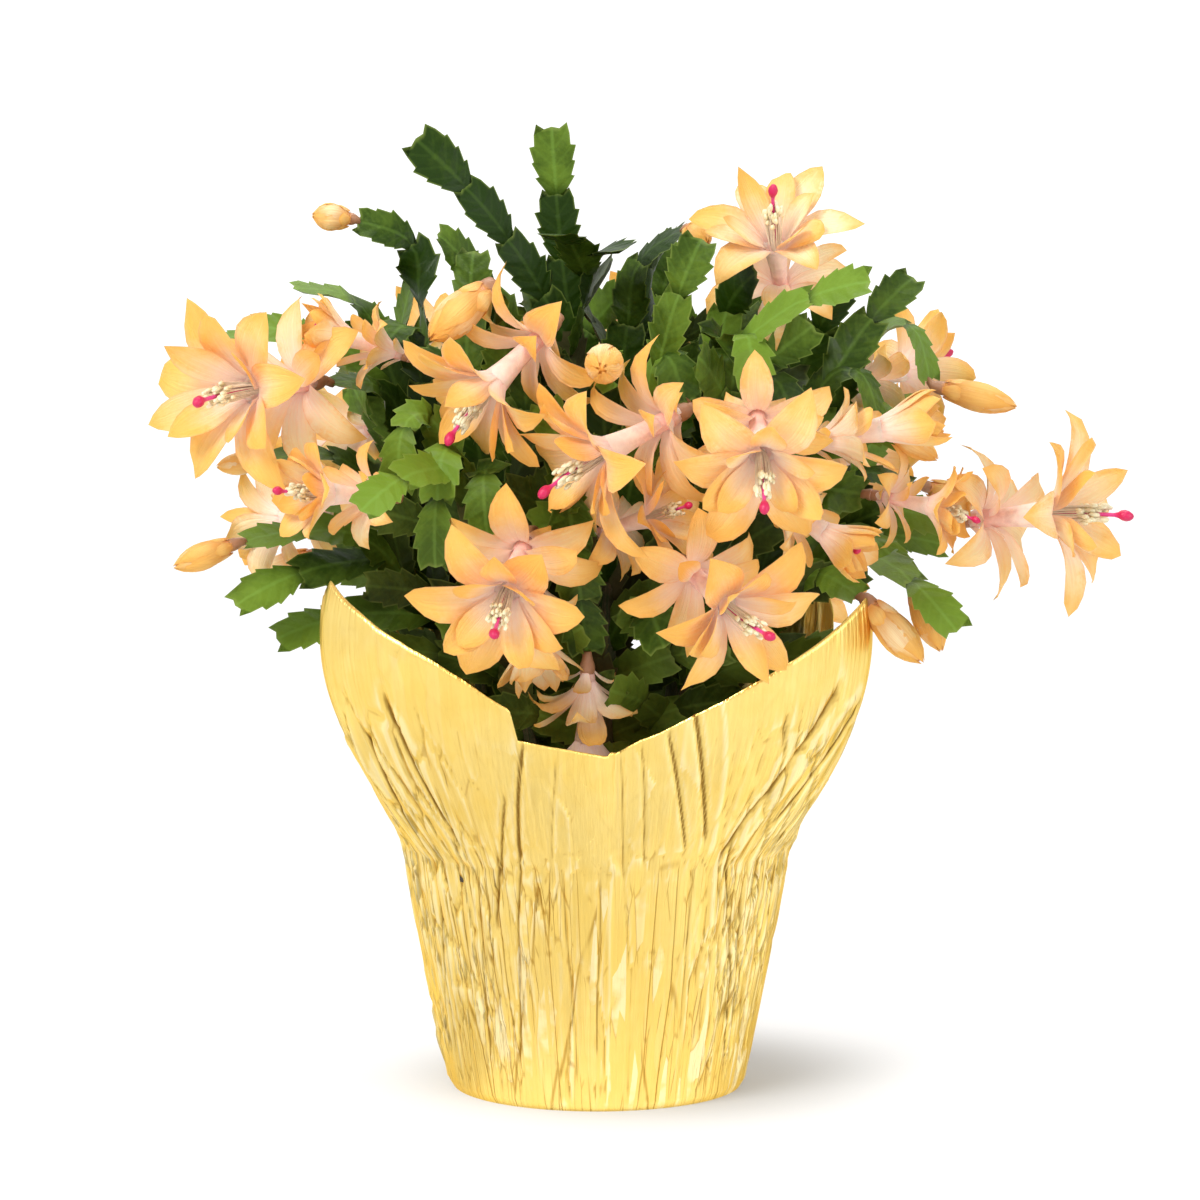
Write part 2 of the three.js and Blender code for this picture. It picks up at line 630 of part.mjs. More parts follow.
// Adds the segments of a run from a ring of four points on, with its twigs, and closes its end.
function addRun(skin, run, first, grow) {
  let low = first;
  for (let k = 0; k < run.pads; k++) {
    const last = k + 1 === run.pads;
    const twigs = (run.twigs ?? []).filter(({ joint }) => joint === k + 1);
    const shift = last ? grow : twigs.length ? -NECK_LENGTH / 2 : 0;
    const high = skin.ring(neckPoints(run, k + 1, shift, grow));
    if (k < run.woody) skin.band(low, high);
    else addPad(skin, run, k, low, high, grow);
    low = high;
    if (!twigs.length) continue;
    const above = skin.ring(neckPoints(run, k + 1, NECK_LENGTH / 2, grow));
    const sides = new Map(twigs.map((twig) => [twig.side > 0 ? 3 : 2, twig.run]));
    low.forEach((a, i) => {
      const j = (i + 1) % 4;
      const foot = [a, low[j], above[j], above[i]];
      if (sides.has(i)) addTwig(skin, sides.get(i), foot, grow);
      else skin.faces.push(a, low[j], above[j], a, above[j], above[i]);
    });
    low = above;
  }
  skin.faces.push(low[0], low[1], low[2], low[0], low[2], low[3]);
}

// Grows a twig from four points on the side of a neck, turned so that its own neck isn't twisted.
function addTwig(skin, run, foot, grow) {
  const points = neckPoints(run, 0, 0, grow);
  const spots = foot.map((i) => new THREE.Vector3().fromArray(skin.points, 3 * i));
  const strain = (turn) =>
    spots.reduce((sum, p, i) => sum + p.distanceTo(points[(i + turn) % 4]), 0);
  const turn = [0, 1, 2, 3].reduce((best, t) => (strain(t) < strain(best) ? t : best), 0);
  const ring = skin.ring(points);
  skin.band(foot, foot.map((_, i) => ring[(i + turn) % 4]));
  addRun(skin, run, ring, grow);
}

// A run with its twigs as one solid, whose foot is sunk a little into what it grows from.
function runSolid(run, grow) {
  const skin = new Skin();
  const base = skin.ring(neckPoints(run, 0, run.rooted ? -grow : -SINK, grow));
  skin.faces.push(base[0], base[2], base[1], base[0], base[3], base[2]);
  addRun(skin, run, base, grow);
  return skin.solid();
}

function leafyStem(laid, grow) {
  return wasm.Manifold.union([...laid.values()].map((run) => runSolid(run, grow)));
}

// Blooms and buds

// Where a bloom or bud sits: the end of a run, and the way that run was going.
function seatOf(laidStems, stem, run) {
  const { joints, heading } = laidStems.get(stem).get(run);
  const last = joints.length - 1;
  return { place: joints[last], heading: heading[last] };
}

// A frame whose w is the facing, with u level where it can be.
function frameOf(facing) {
  const w = facing.clone().normalize();
  const side = Math.abs(w.z) > 0.95 ? new THREE.Vector3(0, 1, 0) : UP;
  const u = side.clone().cross(w).normalize();
  return { u, v: w.clone().cross(u), w };
}

function ringPoints(centre, frame, radius, count, phase) {
  const points = [];
  for (let i = 0; i < count; i++) {
    const a = (2 * Math.PI * (i + phase)) / count;
    const p = centre.clone().addScaledVector(frame.u, radius * Math.cos(a));
    points.push(p.addScaledVector(frame.v, radius * Math.sin(a)));
  }
  return points;
}

// The axis of a bloom or bud leaves its seat along the stem, then turns to the facing.
function axisOf(seat, facing, size) {
  const frame = frameOf(facing);
  const start = seat.place.clone().addScaledVector(seat.heading, SEAT_GAP);
  const bend = start
    .clone()
    .addScaledVector(seat.heading, 3 * size)
    .addScaledVector(frame.w, 2 * size);
  const at = (s) => bend.clone().addScaledVector(frame.w, (s - 5) * size);
  return { start, at, frame };
}

// A whorl's place on the tube, then the course of its tepals as [distance out, distance along], for an
// open and a closed flower.
const LOWER_TEPAL = {
  station: 12,
  radius: 3.6,
  open: [[16, 18], [30, 9]],
  closed: [[9, 27], [17, 34]],
};
const UPPER_TEPAL = {
  station: 38,
  radius: 5.2,
  open: [[18, 48], [36, 48]],
  closed: [[7.5, 52], [3.5, 69]],
};

// Puts a whorl of tepals on a tube: each is a thin blade, flat inside and ridged outside.
function addWhorl(skin, axis, size, course, phase, open, grow) {
  const { u, v, w } = axis.frame;
  const { station, radius } = course;
  const rim = radius * size + grow;
  const edges = skin.ring(
    ringPoints(axis.at(station), axis.frame, rim, TEPALS, phase),
  );
  const mix = (k) =>
    new THREE.Vector2(...course.closed[k]).lerp(
      new THREE.Vector2(...course.open[k]),
      open,
    );
  const middle = mix(0);
  const tip = mix(1);
  const run = tip.clone().sub(middle).normalize();
  tip.addScaledVector(run, (POINT_GROWTH * grow) / size);
  const half = TEPAL_HALF_WIDTH * size + POINT_GROWTH * grow;
  const outer = [];
  for (let i = 0; i < TEPALS; i++) {
    const angle = (2 * Math.PI * (i + phase + 0.5)) / TEPALS;
    const out = u.clone().multiplyScalar(Math.cos(angle));
    out.addScaledVector(v, Math.sin(angle));
    const side = w.clone().cross(out);
    const back = out.clone().multiplyScalar(run.y).addScaledVector(w, -run.x);
    const at = (spot) =>
      axis.at(spot.y).addScaledVector(out, spot.x * size);
    const root = axis.at(station).addScaledVector(out, rim + TEPAL_THICKNESS / 2);
    const ridge = at(middle).addScaledVector(back, TEPAL_THICKNESS + grow);
    const o = skin.point(root.addScaledVector(w, -TEPAL_THICKNESS));
    const flat = at(middle).addScaledVector(back, -grow);
    const l = skin.point(flat.clone().addScaledVector(side, -half));
    const r = skin.point(flat.clone().addScaledVector(side, half));
    const m = skin.point(ridge);
    const t = skin.point(at(tip));
    const [a, b] = [edges[i], edges[(i + 1) % TEPALS]];
    skin.faces.push(a, o, l, o, m, l, o, b, m, b, r, m);
    skin.faces.push(a, l, b, l, r, b);
    skin.faces.push(l, m, t, m, r, t, r, l, t);
    outer.push(a, o);
  }
  return { outer, inner: edges };
}

// Joins a ring of tepals' points to a ring of twice as many, the first of which is shift places on.
function bandToDouble(skin, low, high, shift) {
  low.forEach((a, i) => {
    const b = low[(i + 1) % low.length];
    const [start, middle, end] = [0, 1, 2].map(
      (k) => high[(2 * i + shift + k + high.length) % high.length],
    );
    skin.faces.push(a, b, middle, a, middle, start, b, end, middle);
  });
}

function bloom(seat, facing, size, open, grow) {
  const skin = new Skin();
  const axis = axisOf(seat, vector(facing), size);
  const ovary = skin.ring(
    ringPoints(axis.at(6), axis.frame, 3 * size + grow, TEPALS, 0),
  );
  skin.cap(ovary, skin.point(axis.start), false);
  const lower = addWhorl(skin, axis, size, LOWER_TEPAL, 0, open, grow);
  bandToDouble(skin, ovary, lower.outer, 0);
  const upper = addWhorl(skin, axis, size, UPPER_TEPAL, 0.5, open, grow);
  bandToDouble(skin, lower.inner, upper.outer, -1);
  const stations = [
    [36, 2.4],
    [54, 3],
    [57, 0.9],
    [65, 2],
  ];
  const rings = stations.map(([s, r]) =>
    skin.ring(ringPoints(axis.at(s), axis.frame, r * size + grow, 3, 0.75)),
  );
  upper.inner.forEach((a, i) => {
    const b = upper.inner[(i + 1) % TEPALS];
    const near = rings[0][Math.floor(i / 2)];
    const far = rings[0][(Math.floor(i / 2) + 1) % 3];
    skin.faces.push(a, b, near);
    if (i % 2) skin.faces.push(b, far, near);
  });
  rings.slice(1).forEach((ring, i) => skin.band(rings[i], ring));
  skin.cap(rings[rings.length - 1], skin.point(axis.at(69)), true);
  return skin.solid();
}

function bud(seat, facing, length, width, grow) {
  const skin = new Skin();
  const size = length / 30;
  const axis = axisOf(seat, vector(facing), size);
  const sides = 6;
  const stations = [
    [8, 0.3],
    [14, 0.44],
    [21, 0.5],
    [29, 0.3],
  ];
  const rings = stations.map(([s, share], k) =>
    skin.ring(
      ringPoints(axis.at(s), axis.frame, share * width + grow, sides, k / 4),
    ),
  );
  skin.cap(rings[0], skin.point(axis.start), false);
  rings.slice(1).forEach((ring, i) => skin.band(rings[i], ring));
  skin.cap(rings[rings.length - 1], skin.point(axis.at(35)), true);
  return skin.solid();
}

// Assembly

const finish = (color, roughness, metalness = 0) =>
  new THREE.MeshStandardMaterial({ color, roughness, metalness });
const FOIL = finish(0xf2cf62, 0.38, 0.85);
const POT_PLASTIC = finish(0x3a2a22, 0.7);
const SOIL = finish(0x2b1d14, 0.95);
const GREEN = finish(0x4f7d2a, 0.5);
const PEACH = finish(0xf2b46a, 0.55);
const BUD_PEACH = finish(0xe2a252, 0.55);

const part = new THREE.Group();

function add(name, solid, material) {
  const mesh = new THREE.Mesh(geometryOf(solid), material);
  mesh.name = name;
  part.add(mesh);
  return solid;
}

const laidStems = new Map(
  Object.entries(STEMS).map(([name, stem]) => [name, layOut(stem)]),
);

// Cuts a solid clear of the rooms that its box reaches.
function carved(solid, rooms) {
  const own = solid.boundingBox();
  const near = rooms.filter((room) => {
    const box = room.boundingBox();
    return [0, 1, 2].every(
      (i) => box.min[i] <= own.max[i] && own.min[i] <= box.max[i],
    );
  });
  return near.reduce((left, room) => left.subtract(room), solid);
}

const cover = add("foil_cover", foilCover(), FOIL);
add("nursery_pot", nurseryPot(), POT_PLASTIC);

const rooms = [cover];
laidStems.forEach((laid, name) => {
  const solid = mainBody(carved(leafyStem(laid, 0), rooms));
  add(name, solid, GREEN);
  rooms.push(leafyStem(laid, CLEARANCE), solid);
});
add("potting_soil", mainBody(carved(pottingSoil(), rooms.slice(1))), SOIL);

function addFlower(name, make, material) {
  const solid = mainBody(carved(make(0), rooms));
  add(name, solid, material);
  rooms.push(make(CLEARANCE), solid);
}

BLOOMS.forEach(([name, stem, run, facing, size, open]) => {
  const seat = seatOf(laidStems, stem, run);
  addFlower(name, (grow) => bloom(seat, facing, size, open, grow), PEACH);
});
BUDS.forEach(([name, stem, run, facing, length, width]) => {
  const seat = seatOf(laidStems, stem, run);
  addFlower(name, (grow) => bud(seat, facing, length, width, grow), BUD_PEACH);
});

export default part;
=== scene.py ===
import math

import bmesh
import bpy
import numpy as np
from bpy.props import FloatProperty, FloatVectorProperty, IntProperty, PointerProperty
from mathutils import Matrix, Vector


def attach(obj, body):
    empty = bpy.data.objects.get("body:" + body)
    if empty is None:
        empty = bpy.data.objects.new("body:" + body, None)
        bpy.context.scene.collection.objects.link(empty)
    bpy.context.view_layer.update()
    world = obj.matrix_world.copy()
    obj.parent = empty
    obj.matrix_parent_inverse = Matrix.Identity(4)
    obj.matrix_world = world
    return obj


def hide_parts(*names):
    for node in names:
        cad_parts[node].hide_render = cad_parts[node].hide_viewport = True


bl_info = {
    "name": "Potted christmas cactus",
    "version": (1, 0, 0),
    "blender": (4, 5, 0),
    "location": "3D View > Sidebar > Cactus",
    "description": "Leafy stems, blooms and buds of a potted christmas cactus in a gold foil cover",
    "category": "Add Mesh",
}

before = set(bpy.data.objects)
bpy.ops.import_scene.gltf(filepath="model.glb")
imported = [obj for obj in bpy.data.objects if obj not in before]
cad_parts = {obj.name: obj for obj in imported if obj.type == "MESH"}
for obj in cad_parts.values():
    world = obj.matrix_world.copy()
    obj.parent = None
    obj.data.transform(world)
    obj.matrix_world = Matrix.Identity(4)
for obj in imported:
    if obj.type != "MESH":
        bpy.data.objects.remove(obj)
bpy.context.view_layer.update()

MM = 0.001
UP = np.array([0.0, 0.0, 1.0])
PLANT_HEART = np.array([0.0, 0.0, 195.0])

# Sizes of the solids in millimetres, which the fine pieces keep to.
COVER_BASE_RADIUS = 59
COVER_WALL_SLOPE = 0.184
COVER_WAIST = 98
COVER_CURL = 0.62 * math.pi
BRIM_FULL_HEIGHT = 113
BRIM_BOW = 0.1
FRONT_FLARE = 11
CORNER_FLARE = 46
CORNER_SPREAD = 0.8
COVER_THICKNESS = 0.8
FOOT_INSET = 1.5
CORNERS = [(60, 204), (135, 206), (225, 208), (300, 211)]
VALLEYS = [(5, 145), (97, 158), (180, 150), (262, 160)]
POT_HEIGHT = 104
POT_WALL = 1.4
POT_SLACK = 1.4
POT_LIFT = 0.3
POT_RIM_DEPTH = 14
POT_RIM_STEP = 1.2
POT_RIM_EASE = 0.2
DRAIN_HOLE_RADIUS = 5
DRAIN_HOLE_RING = 36
DRAIN_HOLES = 6
SOIL_TOP = 92
SOIL_GAP = 0.3
SOIL_LUMPS = 1.1
SOIL_MOUND = 2
SOIL_EDGE = 2
ROOT_DEPTH = 14
PAD_LENGTH = 31
PAD_VARIETY = 0.1
PAD_SWAY = 14
BACK_START = 30
FACING_BIAS = 35
FACING_RISE = 30
FACING_SHARES = np.array([0.55, 1.0, 0.6])
STALK_RADIUS = 3.4
LEAFY_SEGMENTS = 3
BRANCH_REACH = 1.5
TWIG_NECK = 7
TWIG_OFFSET = 2
TWIG_LENGTH = 54
TWIG_LIFT = 18
TWIG_ARRIVAL = 16
TWIG_ROLL = 12
TWIG_DROOP = 9
TWIG_AHEAD = 0.62
TWIG_ASIDE = 0.72
TWIG_OUTWARD = 0.3
TWIG_ROOT_SHARE = 0.3
SEAT_GAP = 0.4

# The short inner twigs, which only the fine pieces have, stay within this room round the leaves' heart,
# this far from the foil and this far above the soil.
LEAF_HEART = np.array([0.0, 6.0, 252.0])
LEAF_ROOM = np.array([104.0, 74.0, 84.0])
WALL_ROOM = 9
SOIL_ROOM = 12
INNER_TWIG_CHANCE = -0.5
INNER_TWIG_AGE = 0.2
INNER_TWIG_WIDTH = 0.92

# Each stem is where it stands in the soil, then its runs of pads:
# name, grows from, at joint, lift, tip, arrival, roll, twigs. The first run is the bare stalk.
STEMS = {
    "stem_crown": ((2, 8), [
        ("stalk", None, 0, 40, (0, 6, 236), (-2, 0, 40), 0, []),
        ("spire", "stalk", 4, 23, (-18, 2, 384), (-4, 0, 70), 0, []),
        ("lean", "spire", 3, 12, (-71, -10, 380), (-38, -6, 34), -45, []),
        ("hook", "stalk", 4, 60, (34, -10, 344), (24, -6, -16), 10, []),
        ("reach", "stalk", 2.3, 90, (71, -18, 313), (36, -6, 6), 0, []),
        ("tuft", "spire", 3, 34, (10, -34, 338), (12, -22, -6), 0, [1]),
        ("plume", "stalk", 3.9, 94, (32, 42, 342), (10, 22, -2), 0, []),
        ("fan", "stalk", 3.5, 37, (-40, 40, 344), (-14, 20, 2), 0, []),
    ]),
    "stem_front": ((2, -26), [
        ("stalk", None, 0, 40, (4, -46, 214), (0, -4, 40), 0, []),
        ("curtain", "stalk", 2.4, 139, (-4, -68, 184), (10, 44, -100), 0, []),
        ("shelf", "stalk", 3.6, 106, (34, -86, 283), (8, -8, -40), 0, [-3]),
        ("knob", "stalk", 3.8, 76, (4, -86, 299), (4, -30, 2), 0, [2]),
        ("low", "stalk", 3.1, 51, (26, -68, 186), (10, -10, -24), 0, []),
        ("dip", "stalk", 3.1, 12, (-25, -70, 220), (-6, -10, -26), 0, []),
        ("core", "stalk", 3.8, 20, (-2, -68, 228), (2, -16, 10), 0, []),
        ("hem", "stalk", 3.9, 41, (-24, -80, 233), (-10, -12, -16), 0, [1]),
    ]),
    "stem_front_right": ((22, -20), [
        ("stalk", None, 0, 40, (44, -38, 214), (4, -4, 40), 0, []),
        ("drape", "stalk", 3.2, 113, (60, -86, 286), (3, -10, -52), 0, [-4]),
        ("strand", "stalk", 4, 88, (47, -68, 306), (4, -14, -20), 0, [2]),
        ("fall", "stalk", 3.6, 97, (76, -66, 267), (16, -9, -48), 0, [-2]),
        ("ledge", "stalk", 3.4, 98, (110, -44, 272), (10, -4, -44), 0, [-3, 2]),
        ("nod", "stalk", 2.7, 54, (31, -82, 223), (2, -14, -24), 0, []),
        ("spur", "stalk", 2.6, 52, (62, -68, 245), (16, -10, -20), 0, []),
        ("low", "stalk", 2.5, 50, (66, -56, 190), (14, -12, -22), 0, []),
        ("crest", "stalk", 3.8, 92, (62, -50, 330), (16, -18, -8), 0, [1]),
    ]),
    "stem_right": ((30, 4), [
        ("stalk", None, 0, 40, (60, 2, 214), (6, 0, 40), 0, []),
        ("arch", "stalk", 4, 117, (131, -20, 286), (12, -6, -52), 0, []),
        ("wing", "stalk", 2.7, 64, (138, -26, 231), (42, -8, -14), 20, []),
        ("barb", "stalk", 3, 74, (104, -44, 243), (30, -14, -10), 10, []),
        ("tail", "stalk", 2.6, 68, (121, -42, 212), (16, -10, -36), 10, [3, -2]),
        ("nub", "stalk", 2.5, 53, (102, -54, 204), (16, -12, -24), 5, []),
        ("side", "stalk", 3.2, 56, (98, 38, 278), (24, 4, -30), 0, [4]),
        ("bough", "stalk", 3, 58, (128, 22, 240), (30, 6, -24), 0, [-3, 2]),
    ]),
    "stem_left": ((-30, 2), [
        ("stalk", None, 0, 40, (-58, -2, 214), (-6, 0, 40), 0, []),
        ("crook", "stalk", 4.0, 109, (-94, -14, 348), (-32, -4, -6), -30, []),
        ("flag", "stalk", 3.5, 103, (-82, -36, 302), (-6, -10, -30), 0, []),
        ("perch", "stalk", 3.6, 103, (-119, -22, 322), (-32, -4, -6), 5, [-3]),
        ("arm", "stalk", 3, 76, (-104, -38, 286), (-28, -14, -10), 10, []),
        ("oar", "stalk", 3, 72, (-127, -40, 256), (-30, -8, -10), 10, []),
        ("fin", "stalk", 2.6, 103, (-138, -40, 224), (-40, -8, 0), 20, [-2, -1]),
        ("side", "stalk", 3.3, 113, (-118, 18, 288), (-28, 6, -24), 0, [-4, 3]),
        ("bough", "stalk", 2.6, 65, (-102, 30, 234), (-28, 4, -26), 0, [3, 2]),
    ]),
    "stem_front_left": ((-18, -20), [
        ("stalk", None, 0, 40, (-38, -42, 214), (-4, -4, 40), 0, []),
        ("mane", "stalk", 4, 99, (-76, -76, 248), (-4, -8, -70), 0, []),
        ("lock", "stalk", 2.7, 122, (-62, -88, 220), (-2, -8, -86), 0, [-4]),
        ("braid", "stalk", 3.0, 90, (-42, -88, 232), (4, -8, -60), 0, []),
        ("mast", "stalk", 3.9, 84, (-16, -70, 312), (14, -24, 0), 0, []),
        ("twig", "stalk", 3.7, 94, (-40, -64, 324), (-6, -26, 2), 0, []),
        ("crest", "stalk", 3.9, 94, (-62, -38, 344), (-18, -16, -6), 0, []),
        ("tab", "stalk", 3.5, 118, (-70, -50, 296), (-24, -14, -4), 0, [4]),
        ("low", "stalk", 2.6, 30, (-60, -58, 188), (-14, -12, -22), 0, []),
    ]),
    "stem_back_right": ((20, 28), [
        ("stalk", None, 0, 40, (42, 52, 214), (4, 4, 40), 0, []),
        ("drape", "stalk", 3.9, 91, (86, 66, 262), (10, 8, -56), 0, [2, -3]),
        ("fall", "stalk", 4, 102, (66, 90, 278), (6, 10, -52), 0, [-4, 3]),
        ("low", "stalk", 2.4, 52, (112, 64, 216), (28, 14, -22), 10, [2]),
        ("rise", "stalk", 3.6, 89, (74, 58, 332), (22, 16, 0), 0, []),
        ("mane", "stalk", 2.3, 120, (70, 92, 214), (8, 10, -56), 0, [3, -2]),
        ("ledge", "stalk", 3.6, 125, (106, 36, 290), (22, 8, -30), 0, [3]),
    ]),
    "stem_back": ((-4, 38), [
        ("stalk", None, 0, 40, (-4, 64, 214), (0, 4, 40), 0, []),
        ("curtain", "stalk", 3, 128, (-4, 108, 240), (0, 10, -76), 0, [-3]),
        ("shelf", "stalk", 3.9, 96, (-34, 102, 284), (-6, 10, -46), 0, [-2]),
        ("low", "stalk", 2.3, 61, (28, 108, 208), (8, 16, -26), 0, [2, 1]),
        ("rise", "stalk", 3.7, 79, (14, 102, 298), (4, 26, -6), 0, []),
        ("strand", "stalk", 3.3, 82, (34, 100, 276), (10, 12, -40), 0, [3]),
    ]),
    "stem_back_left": ((-26, 26), [
        ("stalk", None, 0, 40, (-48, 48, 214), (-4, 4, 40), 0, []),
        ("drape", "stalk", 3.9, 123, (-88, 64, 264), (-10, 8, -56), 0, [4]),
        ("fall", "stalk", 2.9, 108, (-54, 96, 232), (-6, 12, -60), 0, [-4, 3]),
        ("low", "stalk", 2.4, 45, (-112, 58, 208), (-28, 12, -16), 10, [-2]),
        ("rise", "stalk", 4, 68, (-58, 66, 286), (-16, 20, -6), 0, []),
        ("ledge", "stalk", 3.9, 65, (-106, 34, 300), (-24, 8, -24), 0, []),
        ("strand", "stalk", 3.7, 96, (-74, 84, 288), (-10, 12, -40), 0, []),
    ]),
}

# A bloom is name, stem, run, facing, size, openness.
BLOOMS = [
    ("bloom_left", "stem_left", "arm", (-0.64, -0.76, -0.02), 1.15, 1),
    ("bloom_tall", "stem_front_left", "mast", (-0.65, -0.42, -0.62), 1.05, 1),
    ("bloom_peep", "stem_front_left", "tab", (-0.9, -0.2, 0.3), 0.75, 0.4),
    ("bloom_crown", "stem_crown", "reach", (-0.12, -0.65, 0.75), 0.95, 1),
    ("bloom_dusk", "stem_front_left", "mane", (-0.85, -0.5, 0.1), 0.85, 0.6),
    ("bloom_lap", "stem_front", "hem", (-0.2, -0.8, -0.5), 1.05, 1),
    ("bloom_drop", "stem_front", "dip", (0.1, -0.2, -1.0), 0.85, 0.5),
    ("bloom_heart", "stem_front", "shelf", (-0.82, -0.42, -0.38), 1.1, 1),
    ("bloom_core", "stem_front", "core", (0.8, -0.5, 0.3), 0.75, 0.9),
    ("bloom_gaze", "stem_front_right", "drape", (0.04, -0.86, -0.5), 1.0, 1),
    ("bloom_fold", "stem_front_right", "fall", (0.96, -0.12, 0.2), 0.95, 0.25),
    ("bloom_skirt", "stem_front_right", "nod", (0.5, -0.74, -0.42), 1.0, 1),
    ("bloom_cone", "stem_front_right", "spur", (0.8, -0.35, -0.48), 0.85, 0.3),
    ("bloom_well", "stem_front", "curtain", (0.0, 0.22, -1.0), 0.95, 0.65),
    ("bloom_far", "stem_right", "wing", (0.86, -0.42, 0.1), 1.1, 1),
    ("bloom_edge", "stem_right", "barb", (0.9, -0.3, -0.15), 0.7, 0.8),
    ("bloom_side_right", "stem_right", "side", (0.8, 0.6, 0.15), 0.85, 1),
    ("bloom_side_left", "stem_left", "bough", (-0.8, 0.5, -0.35), 0.8, 1),
    ("bloom_back_right", "stem_back_right", "drape", (0.5, 0.85, -0.3), 0.95, 1),
    ("bloom_back_low", "stem_back_right", "mane", (0.35, 0.75, -0.5), 0.9, 1),
    ("bloom_back", "stem_back", "curtain", (0.1, 0.8, -0.6), 1.0, 1),
    ("bloom_back_high", "stem_back", "rise", (0.15, 0.9, -0.1), 0.75, 1),
    ("bloom_back_mid", "stem_back", "shelf", (-0.45, 0.8, -0.3), 0.95, 1),
    ("bloom_back_left", "stem_back_left", "drape", (-0.5, 0.85, -0.25), 1.0, 1),
    ("bloom_back_fall", "stem_back_left", "fall", (-0.4, 0.7, -0.6), 0.85, 0.6),
    ("bloom_back_top", "stem_back_left", "rise", (-0.1, 0.95, 0.05), 0.8, 1),
]

# A bud is name, stem, run, facing, length, width.
BUDS = [
    ("bud_arch", "stem_right", "arch", (0.9, -0.3, -0.2), 32, 11),
    ("bud_side", "stem_right", "bough", (0.8, 0.3, -0.3), 26, 10),
    ("bud_tail", "stem_right", "tail", (0.35, -0.3, -0.9), 30, 12),
    ("bud_nub", "stem_right", "nub", (0.65, -0.3, -0.7), 32, 13),
    ("bud_oar", "stem_left", "oar", (-0.95, -0.2, -0.1), 19, 8),
    ("bud_fin", "stem_left", "fin", (-0.85, -0.3, -0.3), 26, 10),
    ("bud_perch", "stem_left", "crook", (-0.95, -0.2, 0.1), 16, 10),
    ("bud_twig", "stem_front_left", "twig", (-0.7, -0.5, -0.6), 33, 15),
    ("bud_knob", "stem_front", "knob", (-0.1, -0.95, -0.1), 22, 14),
    ("bud_hook", "stem_crown", "hook", (0.5, -0.7, -0.3), 14, 10),
    ("bud_ledge", "stem_front_right", "ledge", (0.8, -0.3, -0.5), 24, 9),
    ("bud_low", "stem_back", "low", (0.2, 0.6, -0.75), 28, 11),
    ("bud_strand", "stem_back_left", "strand", (-0.3, 0.8, -0.5), 24, 10),
    ("bud_back_rise", "stem_back_right", "rise", (0.5, 0.6, 0.5), 18, 9),
    ("bud_back_fall", "stem_back_right", "fall", (0.2, 0.8, -0.5), 30, 12),
    ("bud_back_low", "stem_back_left", "low", (-0.8, 0.4, -0.4), 28, 11),
]


def vector(values):
    return np.array(values, float)


def unit(v):
    return v / np.linalg.norm(v, axis=-1, keepdims=True)


def wobble(seed):
    """A repeatable number from -1 to 1 for each seed. What callers add to a seed sets its draws apart."""
    value = math.sin(seed * 12.9898 + 4.1) * 43758.5453
    return 2 * (value - math.floor(value)) - 1


def smooth(low, high, x):
    """0 below low, 1 above high, with an even S between them."""
    share = np.clip((x - low) / (high - low), 0, 1)
    return share * share * (3 - 2 * share)


def bezier(first, second, third, fourth, t):
    """Points of the curve with these four control points, at shares t of its way."""
    rest = 1 - t
    return first * rest**3 + 3 * second * rest**2 * t + 3 * third * rest * t**2 + fourth * t**3


# Leafy stems


class Run:
    """The joints of one chain of pads, with the heading and the width direction at each."""

    TRACE = 200

    def __init__(self, start, climb, lift, tip, arrival, roll, leafy, length=PAD_LENGTH):
        self.course = (start, climb, lift, tip, arrival, roll, leafy)
        ends = [start, start + climb * lift, tip - arrival, tip]
        share = np.linspace(0, 1, self.TRACE + 1)[:, None]
        line = bezier(*ends, share)
        steps = np.linalg.norm(np.diff(line, axis=0), axis=1)
        walked = np.concatenate([[0], np.cumsum(steps)])
        self.pads = max(1, int(walked[-1] / length + 0.5))
        along = np.interp(np.linspace(0, walked[-1], self.pads + 1), walked, share[:, 0])[:, None]
        self.joints = bezier(*ends, along)
        self.heading = []
        self.across = []
        faced = FACING_BIAS if tip[1] > BACK_START else -FACING_BIAS
        for i, joint in enumerate(self.joints):
            ahead = self.joints[min(i + 1, self.pads)] - self.joints[max(i - 1, 0)]
            heading = unit(ahead)
            outward = joint - PLANT_HEART
            outward = outward * FACING_SHARES + [0, faced, FACING_RISE]
            turn = math.radians(roll + PAD_SWAY * wobble(i * 5.1 + tip[0] + tip[2]))
            width = unit(np.cross(heading, outward))
            self.heading.append(heading)
            self.across.append(width * math.cos(turn) + np.cross(heading, width) * math.sin(turn))
        self.woody = max(self.pads - leafy, 0)
        self.rooted = False
        self.twigs = []

    def finer(self, length):
        """The same curve with joints this far apart, for the pads that show."""
        fine = Run(*self.course, length)
        fine.woody = round(self.woody * fine.pads / self.pads)
        fine.joints[0] = self.joints[0]
        return fine


def trace_twig(run, at, side):
    """A short twig of two pads that leaves a run at a joint, to one side and a little outward."""
    outward = unit(run.joints[at] - PLANT_HEART)
    ahead = TWIG_AHEAD * run.heading[at]
    way = unit(ahead + TWIG_ASIDE * side * run.across[at] + TWIG_OUTWARD * outward)
    start = run.joints[at] + TWIG_NECK * way + TWIG_OFFSET * outward
    droop = np.array([0, 0, TWIG_DROOP])
    tip = start + TWIG_LENGTH * way - droop
    arrival = TWIG_ARRIVAL * way - droop
    twig = Run(start, way, TWIG_LIFT, tip, arrival, TWIG_ROLL * side, LEAFY_SEGMENTS)
    twig.joints[0] = (1 - TWIG_ROOT_SHARE) * run.joints[at] + TWIG_ROOT_SHARE * start
    return twig


